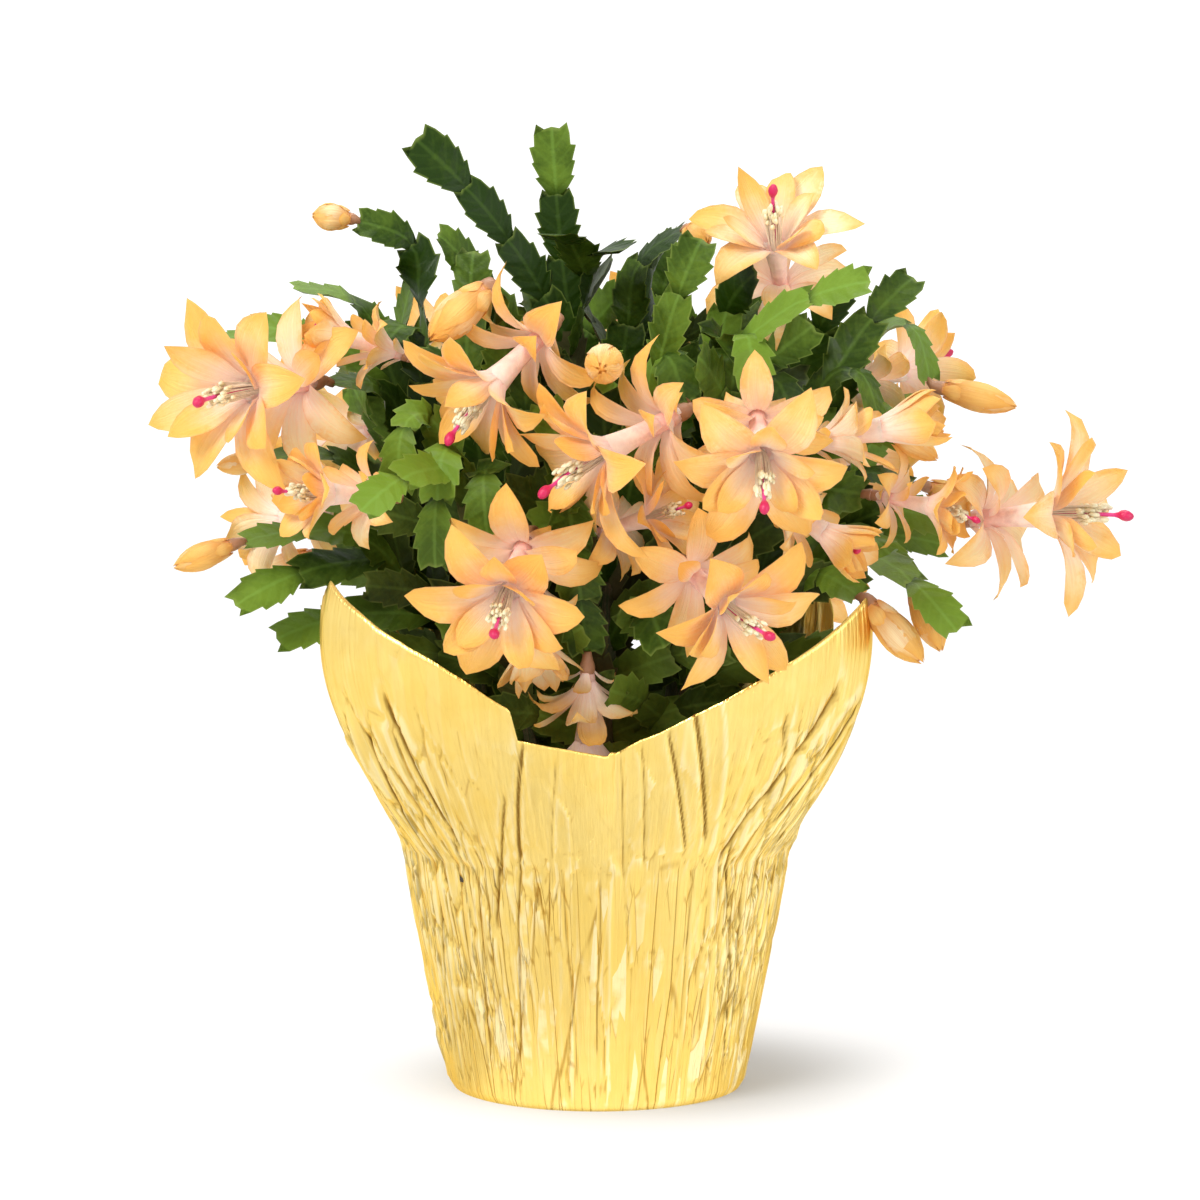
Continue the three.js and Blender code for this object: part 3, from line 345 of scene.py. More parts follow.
def lay_out(root, runs):
    """Traces all the runs of a stem with their twigs, by name."""
    laid = {}
    for name, parent, at, lift, tip, arrival, roll, twigs in runs:
        tip = vector(tip)
        if parent:
            joints = laid[parent].joints
            share = at % 1
            start = joints[math.floor(at)] * (1 - share) + joints[math.ceil(at)] * share
            climb = unit(UP + BRANCH_REACH * unit(tip - start))
            leafy = LEAFY_SEGMENTS
        else:
            start = vector([*root, SOIL_TOP - ROOT_DEPTH])
            climb = UP
            leafy = 0
        run = Run(start, climb, lift, tip, vector(arrival), roll, leafy)
        run.rooted = not parent
        run.twigs = [trace_twig(run, abs(twig), int(math.copysign(1, twig))) for twig in twigs]
        laid[name] = run
    return laid


LAID_STEMS = {name: lay_out(*stem) for name, stem in STEMS.items()}


# Meshes


# A template's points past this share of its half width lie on its rim, and points this close are one.
RIM_SHARE = 0.999
SAME_POINT = 1e-4
# Points this close are one on a piece of real size, in metres.
SAME_PLACE = 2e-6


def meshed(name, bm):
    """Turns a bmesh into a smooth mesh and frees it."""
    for face in bm.faces:
        face.smooth = True
    mesh = bpy.data.meshes.new(name)
    bm.to_mesh(mesh)
    bm.free()
    return mesh


def mesh_points(mesh):
    points = np.empty(len(mesh.vertices) * 3, np.float32)
    mesh.vertices.foreach_get("co", points)
    return points.reshape(-1, 3).astype(float).T


def place_points(mesh, points):
    """Puts a mesh's points at these places in millimetres."""
    mesh.vertices.foreach_set("co", (points * MM).astype(np.float32).ravel())


def add_trait(mesh, name, values):
    layer = mesh.attributes.new(name, "FLOAT", "POINT")
    layer.data.foreach_set("value", np.ascontiguousarray(values, np.float32))


class Template:
    """A small mesh made once by operators and copied, with its points bent to each place."""

    def __init__(self, name, bm, slot=0):
        for face in bm.faces:
            face.material_index = slot
        self.mesh = meshed(name, bm)
        self.across, self.along, self.face = mesh_points(self.mesh)


def gridded(bm, columns, rows):
    """Adds a grid over -1 to 1 each way, with its place in the grid as its UV map."""
    uv = bm.loops.layers.uv.get("UVMap") or bm.loops.layers.uv.new("UVMap")
    made = bmesh.ops.create_grid(bm, x_segments=columns, y_segments=rows, size=1)["verts"]
    faces = {face for vert in made for face in vert.link_faces}
    for face in faces:
        for loop in face.loops:
            loop[uv].uv = ((loop.vert.co.x + 1) / 2, (loop.vert.co.y + 1) / 2)
    return made, list(faces)


def blade_template(name, columns, rows, pointed, slot=0):
    """Two faces joined along their rim: x runs across, y along, z is the face."""
    bm = bmesh.new()
    for side in (1, -1):
        verts, faces = gridded(bm, columns, rows)
        if side < 0:
            bmesh.ops.reverse_faces(bm, faces=faces)
        for vert in verts:
            x, y, _ = vert.co
            if pointed and y > RIM_SHARE:
                vert.co.x = 0
            if abs(x) < RIM_SHARE and abs(y) < RIM_SHARE:
                vert.co.z = side
    bmesh.ops.remove_doubles(bm, verts=bm.verts, dist=SAME_POINT)
    for edge in bm.edges:
        if not any(vert.co.z for vert in edge.verts):
            edge.smooth = False
    return Template(name, bm, slot)


def tube_template(name, sides, rings, slot=0):
    """A closed tube: x is the turn from -1 to 1, y runs along, and both ends come to a point."""
    bm = bmesh.new()
    verts, _ = gridded(bm, sides, rings)
    for vert in verts:
        turn = math.pi * vert.co.x
        radius = 0 if abs(vert.co.y) > RIM_SHARE else 1
        vert.co = (radius * math.cos(turn), vert.co.y, radius * math.sin(turn))
    bmesh.ops.remove_doubles(bm, verts=bm.verts, dist=SAME_POINT)
    bmesh.ops.recalc_face_normals(bm, faces=bm.faces)
    return Template(name, bm, slot)


class Growth:
    """Gathers bent copies of templates into one finished piece."""

    def __init__(self):
        self.bm = bmesh.new()
        self.points = []
        self.traits = []

    def add(self, template, points, *traits):
        self.bm.from_mesh(template.mesh)
        self.points.append(points)
        self.traits.append(np.tile(traits, (len(points), 1)))

    def piece(self, name, node, slot, materials, trait_names):
        mesh = meshed(name, self.bm)
        place_points(mesh, np.concatenate(self.points))
        for trait, values in zip(trait_names, np.concatenate(self.traits).T):
            add_trait(mesh, trait, values)
        mesh.update()
        return finished(name, mesh, node, materials)


def in_scene(name, data):
    """Puts an object with this data in the scene."""
    made = bpy.data.objects.new(name, data)
    bpy.context.scene.collection.objects.link(made)
    return made


def finished(name, mesh, node, materials):
    """Puts a mesh in the scene as a piece that rides on the root body."""
    piece = in_scene(name, mesh)
    for material in materials:
        mesh.materials.append(material)
    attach(piece, "root")
    if node:
        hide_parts(node)
    return piece


# Material nodes


def node(tree, kind, values=(), **settings):
    made = tree.nodes.new(kind)
    for key, value in settings.items():
        setattr(made, key, value)
    for socket, value in dict(values).items():
        if isinstance(value, bpy.types.NodeSocket):
            tree.links.new(value, made.inputs[socket])
        else:
            made.inputs[socket].default_value = value
    return made


def arithmetic(tree, operation, *values):
    return node(tree, "ShaderNodeMath", enumerate(values), operation=operation).outputs[0]


def product(tree, first, second):
    return arithmetic(tree, "MULTIPLY", first, second)


def scaled(tree, value, factor, offset):
    """value * factor + offset"""
    return arithmetic(tree, "MULTIPLY_ADD", value, factor, offset)


def with_alpha(colour):
    """A colour's three values with a full alpha, or its socket as it is."""
    return colour if isinstance(colour, bpy.types.NodeSocket) else (*colour[:3], 1.0)


def blended(tree, share, low, high, mode="MIX"):
    """Mixes two colours, each a socket or three values."""
    values = {0: share, 6: with_alpha(low), 7: with_alpha(high)}
    made = node(tree, "ShaderNodeMix", values, data_type="RGBA", blend_type=mode)
    return made.outputs[2]


def ranged(tree, value, low, high, start=0.0, end=1.0, shape="SMOOTHSTEP"):
    values = {0: value, 1: low, 2: high, 3: start, 4: end}
    return node(tree, "ShaderNodeMapRange", values, interpolation_type=shape).outputs[0]


def grey(tree, shade):
    return node(tree, "ShaderNodeCombineColor", {0: shade, 1: shade, 2: shade}).outputs[0]


def vector_math(tree, operation, *values):
    return node(tree, "ShaderNodeVectorMath", enumerate(values), operation=operation).outputs


def noise(tree, place, scale, detail):
    values = {"Vector": place, "Scale": scale, "Detail": detail}
    return node(tree, "ShaderNodeTexNoise", values).outputs


def new_group(name, inputs, outputs):
    """A node group: an input with no value is a vector, and all else is a number."""
    tree = bpy.data.node_groups.new(name, "ShaderNodeTree")
    for label, value in inputs.items():
        kind = "NodeSocketVector" if value is None else "NodeSocketFloat"
        socket = tree.interface.new_socket(label, in_out="INPUT", socket_type=kind)
        if value is not None:
            socket.default_value = value
    for label in outputs:
        tree.interface.new_socket(label, in_out="OUTPUT", socket_type="NodeSocketFloat")
    start = node(tree, "NodeGroupInput").outputs
    end = node(tree, "NodeGroupOutput").inputs
    return tree, start, end


def mottle_group():
    """Cloudy patches at two sizes, from 0 to 1."""
    tree, start, end = new_group("mottle", {"Place": None, "Scale": 60.0, "Contrast": 0.2}, ["Mask"])
    finer, fine_share, middle = 7.3, 0.35, 0.67
    coarse = noise(tree, start[0], start[1], 3.0)[0]
    fine = noise(tree, start[0], product(tree, start[1], finer), 2.0)[0]
    both = scaled(tree, fine, fine_share, coarse)
    low = arithmetic(tree, "SUBTRACT", middle, start[2])
    high = arithmetic(tree, "ADD", middle, start[2])
    tree.links.new(ranged(tree, both, low, high), end[0])
    return tree


def streaks_group():
    """Fine lines that run along a blade's UV map, from 0 to 1."""
    inputs = {"UV": None, "Across": 30.0, "Along": 1.5, "Seed": 0.0}
    tree, start, end = new_group("streaks", inputs, ["Mask"])
    scale = node(tree, "ShaderNodeCombineXYZ", {0: start[1], 1: start[2], 2: 1.0}).outputs[0]
    shift = node(tree, "ShaderNodeCombineXYZ", {0: start[3], 1: start[3], 2: start[3]}).outputs[0]
    place = vector_math(tree, "MULTIPLY_ADD", start[0], scale, shift)[0]
    tree.links.new(ranged(tree, noise(tree, place, 1.0, 3.0)[0], 0.32, 0.68), end[0])
    return tree


def creases_group():
    """Long polygons along a UV map: the lines between them, and a tone of each, from 0 to 1."""
    inputs = {"UV": None, "Across": 60.0, "Along": 5.0, "Width": 0.05, "Shown": 0.5}
    tree, start, end = new_group("creases", inputs, ["Lines", "Tone"])
    scale = node(tree, "ShaderNodeCombineXYZ", {0: start[1], 1: start[2], 2: 1.0}).outputs[0]
    place = vector_math(tree, "MULTIPLY", start[0], scale)[0]
    bend, fade = (0.5, 0.3, 0.0), 0.06
    bent = vector_math(tree, "MULTIPLY_ADD", noise(tree, place, 0.7, 1.0)[1], bend, place)[0]
    cells = [
        node(
            tree, "ShaderNodeTexVoronoi", {"Vector": bent, "Scale": 1.0}, voronoi_dimensions="2D",
            feature=feature,
        ).outputs
        for feature in ("DISTANCE_TO_EDGE", "F1")
    ]
    line = ranged(tree, cells[0]["Distance"], 0.0, start[3], 1.0, 0.0)
    limit = arithmetic(tree, "SUBTRACT", 1.0, start[4])
    spread = noise(tree, place, 0.45, 2.0)[0]
    shown = ranged(tree, spread, arithmetic(tree, "SUBTRACT", limit, fade), limit)
    tree.links.new(product(tree, line, shown), end[0])
    tone = node(tree, "ShaderNodeSeparateColor", {0: cells[1]["Color"]}).outputs[0]
    tree.links.new(tone, end[1])
    return tree


NODE_GROUPS = {"mottle": mottle_group, "streaks": streaks_group, "creases": creases_group}


def grouped(tree, name, values):
    """The outputs of a shared node group, which is made the first time that it is asked for."""
    group = bpy.data.node_groups.get(name) or NODE_GROUPS[name]()
    return node(tree, "ShaderNodeGroup", values, node_tree=group).outputs


def mottled(tree, place, scale, contrast):
    return grouped(tree, "mottle", {"Place": place, "Scale": scale, "Contrast": contrast})[0]


def streaked(tree, uv, across, along, seed=0.0):
    values = {"UV": uv, "Across": across, "Along": along, "Seed": seed}
    return grouped(tree, "streaks", values)[0]


def creased(tree, uv, across, along, width, shown):
    values = {"UV": uv, "Across": across, "Along": along, "Width": width, "Shown": shown}
    return grouped(tree, "creases", values)


def new_material(name, **settings):
    """A material whose Principled shader has these plain values."""
    material = bpy.data.materials.new(name)
    material.use_nodes = True
    shader = material.node_tree.nodes["Principled BSDF"]
    for socket, value in settings.items():
        shader.inputs[socket.replace("_", " ")].default_value = value
    return material, material.node_tree, shader


def feed(shader, **sources):
    """Links sources to the shader's sockets of these names."""
    for socket, source in sources.items():
        shader.id_data.links.new(source, shader.inputs[socket.replace("_", " ")])


def bumped(tree, shader, height, distance, strength=1.0):
    values = {"Strength": strength, "Distance": distance, "Height": height}
    feed(shader, Normal=node(tree, "ShaderNodeBump", values).outputs[0])


def object_place(tree):
    return node(tree, "ShaderNodeTexCoord").outputs["Object"]


def own_uv(tree):
    return node(tree, "ShaderNodeUVMap", uv_map="UVMap").outputs[0]


def blade_places(tree):
    """The object's place, the blade's UV, its share along, and its distance from the midrib."""
    uv = own_uv(tree)
    parts = node(tree, "ShaderNodeSeparateXYZ", {0: uv}).outputs
    across = arithmetic(tree, "ABSOLUTE", scaled(tree, parts[0], 2.0, -1.0))
    return object_place(tree), uv, parts[1], across


def trait(tree, name):
    return node(tree, "ShaderNodeAttribute", attribute_name=name).outputs["Fac"]


def leaf_material(colours):
    """Pad skin: its tone from painted shade to painted sunlight, a midrib and slanted veins, a pale rim
    that is partly painted highlight, painted shade at each pad's base, and a brown age.
    """
    material, tree, shader = new_material("cactus_leaf", Roughness=0.36, Specular_IOR_Level=0.14)
    vein_pairs, vein_slant = 4.2, -0.75
    where, uv, along, across = blade_places(tree)
    tone = trait(tree, "tone")
    age = trait(tree, "age")
    clouds = mottled(tree, where, 70.0, 0.24)
    # Painted shade and light: pads darken towards the leaves' heart and lighten outward, by their tone,
    # with a cloudy mottle.
    lightness = ranged(tree, scaled(tree, clouds, 0.35, tone), 0.0, 1.25)
    green = blended(tree, lightness, colours.leaf_dark, colours.leaf_light)
    rib = ranged(tree, across, 0.02, 0.16, 1.0, 0.0)
    counted = product(tree, along, vein_pairs)
    shifted = scaled(tree, across, vein_slant, counted)
    swell = arithmetic(tree, "SINE", product(tree, shifted, 2 * math.pi))
    veins = product(tree, ranged(tree, swell, 0.75, 1.0), 0.25)
    lines = arithmetic(tree, "MAXIMUM", rib, veins)
    shown = product(tree, lines, ranged(tree, tone, -0.2, 0.8, 0.1, 0.4))
    green = blended(tree, shown, green, colours.leaf_rib)
    # Pale rim on the pads' sides and ends: partly their own pale margin, partly a painted edge highlight.
    rim = arithmetic(tree, "MAXIMUM", ranged(tree, across, 0.88, 1.0), ranged(tree, along, 0.95, 1.0))
    green = blended(tree, product(tree, rim, 0.5), green, colours.leaf_rim)
    # Painted shade at each pad's base, where the pad before it overlaps and shades it.
    base = ranged(tree, along, 0.0, 0.2, 0.75, 0.0)
    green = blended(tree, base, green, colours.leaf_dark)
    grown = product(tree, age, scaled(tree, clouds, 0.4, 0.5))
    gloss = scaled(tree, clouds, 0.16, 0.34)
    rough = scaled(tree, age, 0.25, gloss)
    feed(shader, Base_Color=blended(tree, grown, green, colours.bark), Roughness=rough)
    pores = noise(tree, where, 900.0, 2.0)[0]
    relief = scaled(tree, pores, 0.25, product(tree, swell, 0.22))
    relief = scaled(tree, clouds, 0.5, relief)
    bumped(tree, shader, relief, 0.6 * MM, 0.55)
    return material


def bark_material(colours):
    """Brown, with lines that run along the stalk."""
    material, tree, shader = new_material("woody_stalk", Roughness=0.75)
    clouds = mottled(tree, object_place(tree), 120.0, 0.2)
    lines = streaked(tree, own_uv(tree), 18.0, 3.0)
    share = product(tree, arithmetic(tree, "ADD", clouds, lines), 0.5)
    feed(shader, Base_Color=blended(tree, share, colours.bark, colours.leaf_dark))
    bumped(tree, shader, share, 0.8 * MM, 0.8)
    return material


# The light that passes through petals and the flower's tube.
THIN_FLESH = {"Subsurface_Weight": 0.2, "Subsurface_Scale": 4 * MM}


def petal_material(name, colours, tip, throat, depth):
    """Petal skin: pale and pink in the throat, the tip's colour beyond it, with fine veins along, and a
    painted glow that is strongest in the throat.
    """
    # Emission Strength makes the petals glow, though they are no lamp: painted light that lifts their
    # shade.
    material, tree, shader = new_material(
        name, Roughness=0.5, Specular_IOR_Level=0.2, Subsurface_Radius=(1.0, 0.6, 0.3),
        Emission_Strength=0.14, **THIN_FLESH,
    )
    where, uv, along, across = blade_places(tree)
    tone = trait(tree, "tone")
    veins = streaked(tree, uv, 26.0, 1.2, product(tree, tone, 17.0))
    clouds = mottled(tree, where, 90.0, 0.3)
    reach = scaled(tree, clouds, 0.12, along)
    reach = scaled(tree, across, 0.1, reach)
    deep = ranged(tree, tone, 0.0, 0.5, 0.45, 0.0)
    skin = blended(tree, deep, colours.petal, tip)
    skin = blended(tree, ranged(tree, tone, 0.4, 1.0, 0.0, 0.95), skin, colours.petal_pale)
    margin = ranged(tree, across, 0.15, 0.95, 0.05, 0.7)
    flush = product(tree, ranged(tree, clouds, 0.2, 0.9), margin)
    skin = blended(tree, flush, skin, tip)
    colour = blended(tree, ranged(tree, reach, 0.12, 0.84), throat, skin)
    colour = blended(tree, ranged(tree, reach, 0.0, 0.24, 0.55, 0.0), colour, colours.tube_pink)
    colour = blended(tree, ranged(tree, reach, 0.62, 1.1, 0.0, 0.85), colour, tip)
    edged = ranged(tree, across, 0.88, 1.0, 0.0, 0.3)
    veined = scaled(tree, veins, depth, edged)
    colour = blended(tree, veined, colour, colours.petal_vein)
    # The glow colour: half the skin's colour, turning to the throat colour near the foot; painted light
    # strongest in the throat.
    dim = blended(tree, 1.0, colour, (0.5, 0.5, 0.5), "MULTIPLY")
    glow = blended(tree, ranged(tree, reach, 0.1, 0.6, 0.9, 0.0), dim, throat)
    rough = scaled(tree, veins, 0.12, 0.42)
    feed(shader, Base_Color=colour, Emission_Color=glow, Roughness=rough)
    bumped(tree, shader, scaled(tree, clouds, 0.4, veins), 0.4 * MM, 0.5)
    return material


def banded_material(name, low, high, split, roughness, **settings):
    """One colour that turns to another along a tube's UV map, with a soft mottle."""
    material, tree, shader = new_material(name, Roughness=roughness, **settings)
    where, _, along, _ = blade_places(tree)
    clouds = mottled(tree, where, 300.0, 0.3)
    share = scaled(tree, clouds, 0.1, along)
    colour = blended(tree, ranged(tree, share, split - 0.08, split + 0.12), low, high)
    shade = scaled(tree, clouds, 0.16, 0.86)
    feed(shader, Base_Color=blended(tree, 1.0, colour, grey(tree, shade), "MULTIPLY"))
    bumped(tree, shader, clouds, 0.3 * MM, 0.5)
    return material


def foil_material(colours):
    """Satin gold foil: painted shade along its creases, fine wrinkles and main folds, painted highlight on
    its ridges and in glints, darker patches as painted reflection, and fine wrinkles that run down in its
    relief.
    """
    material, tree, shader = new_material(
        "gold_foil", Metallic=1.0, Roughness=0.36, Specular_Tint=(0.95, 0.74, 0.34, 1.0)
    )
    where, uv, rise, _ = blade_places(tree)
    hollow = trait(tree, "hollow")
    clouds = mottled(tree, where, 22.0, 0.25)
    fine = streaked(tree, uv, 420.0, 7.0, 3.0)
    long = creased(tree, uv, 58.0, 2.2, 0.045, 0.5)
    short = creased(tree, uv, 150.0, 9.0, 0.08, 0.42)
    wall = ranged(tree, rise, 0.42, 0.54, 1.0, 0.1)
    # Darker flat patches on the wall: painted reflection, as of facets that mirror less light.
    patch = product(tree, ranged(tree, long[1], 0.3, 1.0, 0.0, 0.5), wall)
    # Crease lines on the wall, which take the painted crease shade.
    lines = scaled(tree, short[0], 0.5, product(tree, long[0], 0.8))
    lines = product(tree, lines, wall)
    # Glints: painted highlights in small spots on the wall.
    glint = product(tree, ranged(tree, short[1], 0.8, 0.9, 0.0, 0.75), wall)
    glint = product(tree, glint, ranged(tree, clouds, 0.35, 0.8))
    shine = blended(tree, clouds, colours.foil, colours.foil_deep)
    # Over the mottled gold: painted shade in fine wrinkles, painted reflection in the patches, painted
    # highlight on ridges, painted shade in hollows and along crease lines, painted glints, and painted
    # shade in the main folds.
    for share, colour in (
        (product(tree, fine, 0.1), colours.foil_crease_shade),
        (patch, colours.foil_deep),
        (ranged(tree, hollow, -0.8, -0.05, 0.6, 0.0), colours.foil_ridge_highlight),
        (ranged(tree, hollow, 0.3, 1.0, 0.0, 0.6), colours.foil_crease_shade),
        (arithmetic(tree, "MINIMUM", lines, 0.85), colours.foil_crease_shade),
        (glint, colours.foil_ridge_highlight),
        (ranged(tree, trait(tree, "fold"), 0.12, 0.6, 0.0, 0.85), colours.foil_fold_shade),
    ):
        shine = blended(tree, share, shine, colour)
    feed(shader, Base_Color=shine, Roughness=scaled(tree, clouds, 0.1, 0.3))
    height = scaled(tree, short[1], 0.3, product(tree, fine, 0.3))
    height = scaled(tree, lines, -0.8, height)
    bumped(tree, shader, height, 0.9 * MM, 0.55)
    return material


def plain_material(name, low, high, scale, roughness, relief, **settings):
    """Two close colours in a mottle, with a grain of the same size in the relief."""
    material, tree, shader = new_material(name, Roughness=roughness, **settings)
    where = object_place(tree)
    clouds = mottled(tree, where, scale, 0.25)
    rough = scaled(tree, clouds, 0.1, roughness - 0.05)
    feed(shader, Base_Color=blended(tree, clouds, low, high), Roughness=rough)
    bumped(tree, shader, noise(tree, where, scale * 6, 4.0)[0], relief, 0.6)
    return material


# Foil pot cover

# Depth in millimetres from which a groove's painted shade is as dark as it gets, and half width in degrees
# of its painted dark line.
DEEP_FOLD = 2.0
FOLD_LINE = 0.9
# The foil mesh: cells round it, and rows in its base, its wall and its brim.
COVER_COLUMNS = 640
BASE_ROWS, WALL_ROWS, BRIM_ROWS = 2, 30, 37
# The low front of the brim, in millimetres: it sags before a notch, and a lip stands up beyond its middle.
FRONT_SAG = 2.5
NOTCH_DEPTH = 2
FRONT_EASE = 0.6
LIP_HEIGHT = 1.8
BRIM_WAVES = 0.5
# How far outside the smooth face of the solid cover the foil runs, before its creases.
FOIL_STANDOFF = 0.55
# Main folds as azimuth and height where each starts and ends, half width in degrees, and depth in
# millimetres: a depth below zero is a groove.
FOLDS = [
    (319, 108, 314, 166, 1.5, -2.6),
    (321, 104, 317, 160, 2.6, 1.2),
    (303, 98, 306, 150, 1.4, -2.0),
    (309, 100, 309, 152, 2.4, 1.0),
    (298, 104, 294, 158, 1.5, -1.8),
    (331, 98, 337, 128, 1.1, -1.2),
    (327, 76, 331, 104, 1.2, -1.3),
    (331, 22, 338, 108, 1.0, -1.1),
    (338, 108, 343, 150, 1.1, -1.5),
    (347, 92, 350, 146, 1.0, -0.7),
    (8, 96, 6, 144, 1.0, -0.8),
    (14, 100, 11, 148, 1.0, -0.9),
    (30, 112, 22, 166, 1.2, -1.6),
    (25, 108, 17, 154, 1.1, -1.4),
    (33, 106, 28, 170, 2.0, 1.0),
    (38, 104, 53, 168, 1.7, -3.4),
    (42, 104, 58, 168, 3.0, 1.8),
    (40, 106, 56, 12, 1.3, -1.6),
    (36, 100, 41, 20, 1.8, 0.9),
    (45, 124, 42, 160, 1.0, -1.0),
    (52, 116, 62, 168, 1.3, -1.8),
    (60, 104, 70, 170, 1.4, -1.8),
    (302, 84, 296, 20, 1.3, -1.4),
    (323, 98, 318, 26, 1.1, -1.0),
    (1, 98, 0, 24, 1.0, -0.9),
    (350, 96, 353, 12, 1.0, -0.8),
    (29, 100, 30, 30, 1.1, -0.9),
    (50, 88, 57, 18, 1.2, -1.2),
    (96, 100, 99, 154, 1.2, -1.4),
    (88, 96, 84, 158, 1.8, 1.2),
    (110, 98, 118, 176, 1.4, -2.2),
    (124, 98, 130, 190, 1.5, -1.8),
    (146, 98, 140, 188, 1.5, -2.0),
    (160, 100, 152, 172, 1.4, -2.2),
    (178, 96, 182, 146, 1.2, -1.0),
    (200, 98, 208, 172, 1.4, -2.2),
    (214, 98, 219, 190, 1.5, -1.6),
    (237, 98, 231, 190, 1.5, -2.0),
    (250, 100, 243, 172, 1.4, -2.2),
    (262, 96, 259, 156, 1.2, -1.2),
    (276, 98, 283, 170, 1.4, -2.0),
]


def hashed(x, y, seed):
    """A repeatable number from 0 to 1 for each cell."""
    value = np.sin(x * 127.1 + y * 311.7 + seed * 74.7) * 43758.5453
    return value - np.floor(value)


def patches(x, y, period, seed, edge):
    """Flat tilted patches from -1 to 1, and the lines between them from 0 to 1, with x repeating."""
    column, row = np.floor(x), np.floor(y)
    nearest, second = np.full(x.shape, 9.0), np.full(x.shape, 9.0)
    tilt = np.zeros(x.shape)
    for i in (-1, 0, 1):
        for j in (-1, 0, 1):
            a, b = column + i, row + j
            dx = x - a - hashed(a % period, b, seed)
            dy = y - b - hashed(a % period, b, seed + 1)
            away = np.hypot(dx, dy)
            slope = (2 * hashed(a % period, b, seed + 2) - 1) * dx
            slope += (2 * hashed(a % period, b, seed + 3) - 1) * dy
            closer = away < nearest
            second = np.where(closer, nearest, np.minimum(second, away))
            tilt = np.where(closer, slope, tilt)
            nearest = np.minimum(nearest, away)
    return tilt, 1 - smooth(0, edge, second - nearest)


def clouds_at(x, y, period, seed):
    """Smooth noise from -1 to 1, with x repeating after period cells."""
    column, row = np.floor(x), np.floor(y)
    fx, fy = x - column, y - row
    fx, fy = fx * fx * (3 - 2 * fx), fy * fy * (3 - 2 * fy)
    near, far = ([hashed((column + i) % period, row + j, seed) for j in (0, 1)] for i in (0, 1))
    low, high = (a * (1 - fx) + b * fx for a, b in zip(near, far))
    return 2 * (low * (1 - fy) + high * fy) - 1


def brim_at(azimuth):
    """Height of the brim, and how much of a corner there is, at azimuths in degrees."""
    marks = []
    for valley, corner in zip(VALLEYS, CORNERS):
        marks += [(valley[0], valley[1], 0), (corner[0], corner[1], 1)]
    marks.append((VALLEYS[0][0] + 360, VALLEYS[0][1], 0))
    bearing, height, corner = np.array(marks, float).T
    turned = np.where(azimuth < bearing[0], azimuth + 360, azimuth)
    spot = np.clip(np.searchsorted(bearing, turned, side="right"), 1, len(bearing) - 1)
    climb = np.interp(turned, bearing, corner)
    low = np.minimum(height[spot - 1], height[spot])
    high = np.maximum(height[spot - 1], height[spot])
    eased = (1 - BRIM_BOW) * climb + BRIM_BOW * climb * climb
    return low + (high - low) * eased, climb


def brim_edge(azimuth):
    """The brim as it shows: its height with small waves and the shape of its low front, and the corner."""
    top, corner = brim_at(azimuth)
    top = top + BRIM_WAVES * clouds_at(azimuth / 5, azimuth * 0, 72, 21)
    notch = smooth(340.5, 341.3, azimuth) * (1 - smooth(343, 356, azimuth))
    past_notch = smooth(341.0, 342.0, azimuth)
    sag = smooth(330, 340, azimuth) - past_notch
    top = top - FRONT_SAG * sag - NOTCH_DEPTH * notch
    front = past_notch + 1 - smooth(2, 8, azimuth)
    top = top - front * FRONT_EASE * np.maximum(top - VALLEYS[0][1], 0)
    lip = smooth(3.0, 3.6, azimuth) * (1 - smooth(6, 20, azimuth))
    return top + LIP_HEIGHT * lip, corner


def cover_radius(z, corner):
    """Radius of the smooth cover at a height, for a share of a corner."""
    wall = COVER_BASE_RADIUS + COVER_WALL_SLOPE * np.minimum(z, COVER_WAIST)
    flare = FRONT_FLARE + (CORNER_FLARE - FRONT_FLARE) * corner**CORNER_SPREAD
    climb = np.maximum(z - COVER_WAIST, 0) / BRIM_FULL_HEIGHT
    return wall + flare * np.sin(COVER_CURL * climb)


def crease(azimuth, z, start, low, end, high, width, depth):
    """One fold along a line from azimuth start at height low to azimuth end at height high."""
    base, top = min(low, high), max(low, high)
    climb = np.clip((z - low) / (high - low), 0, 1)
    centre = start + (end - start) * climb + 0.25 * np.sin(z * 0.09 + start)
    away = np.abs((azimuth - centre + 180) % 360 - 180)
    ends = smooth(base - 7, base + 5, z) * (1 - smooth(top - 5, top + 9, z))
    return depth * ends * np.clip(1 - away / width, 0, 1) ** 1.3


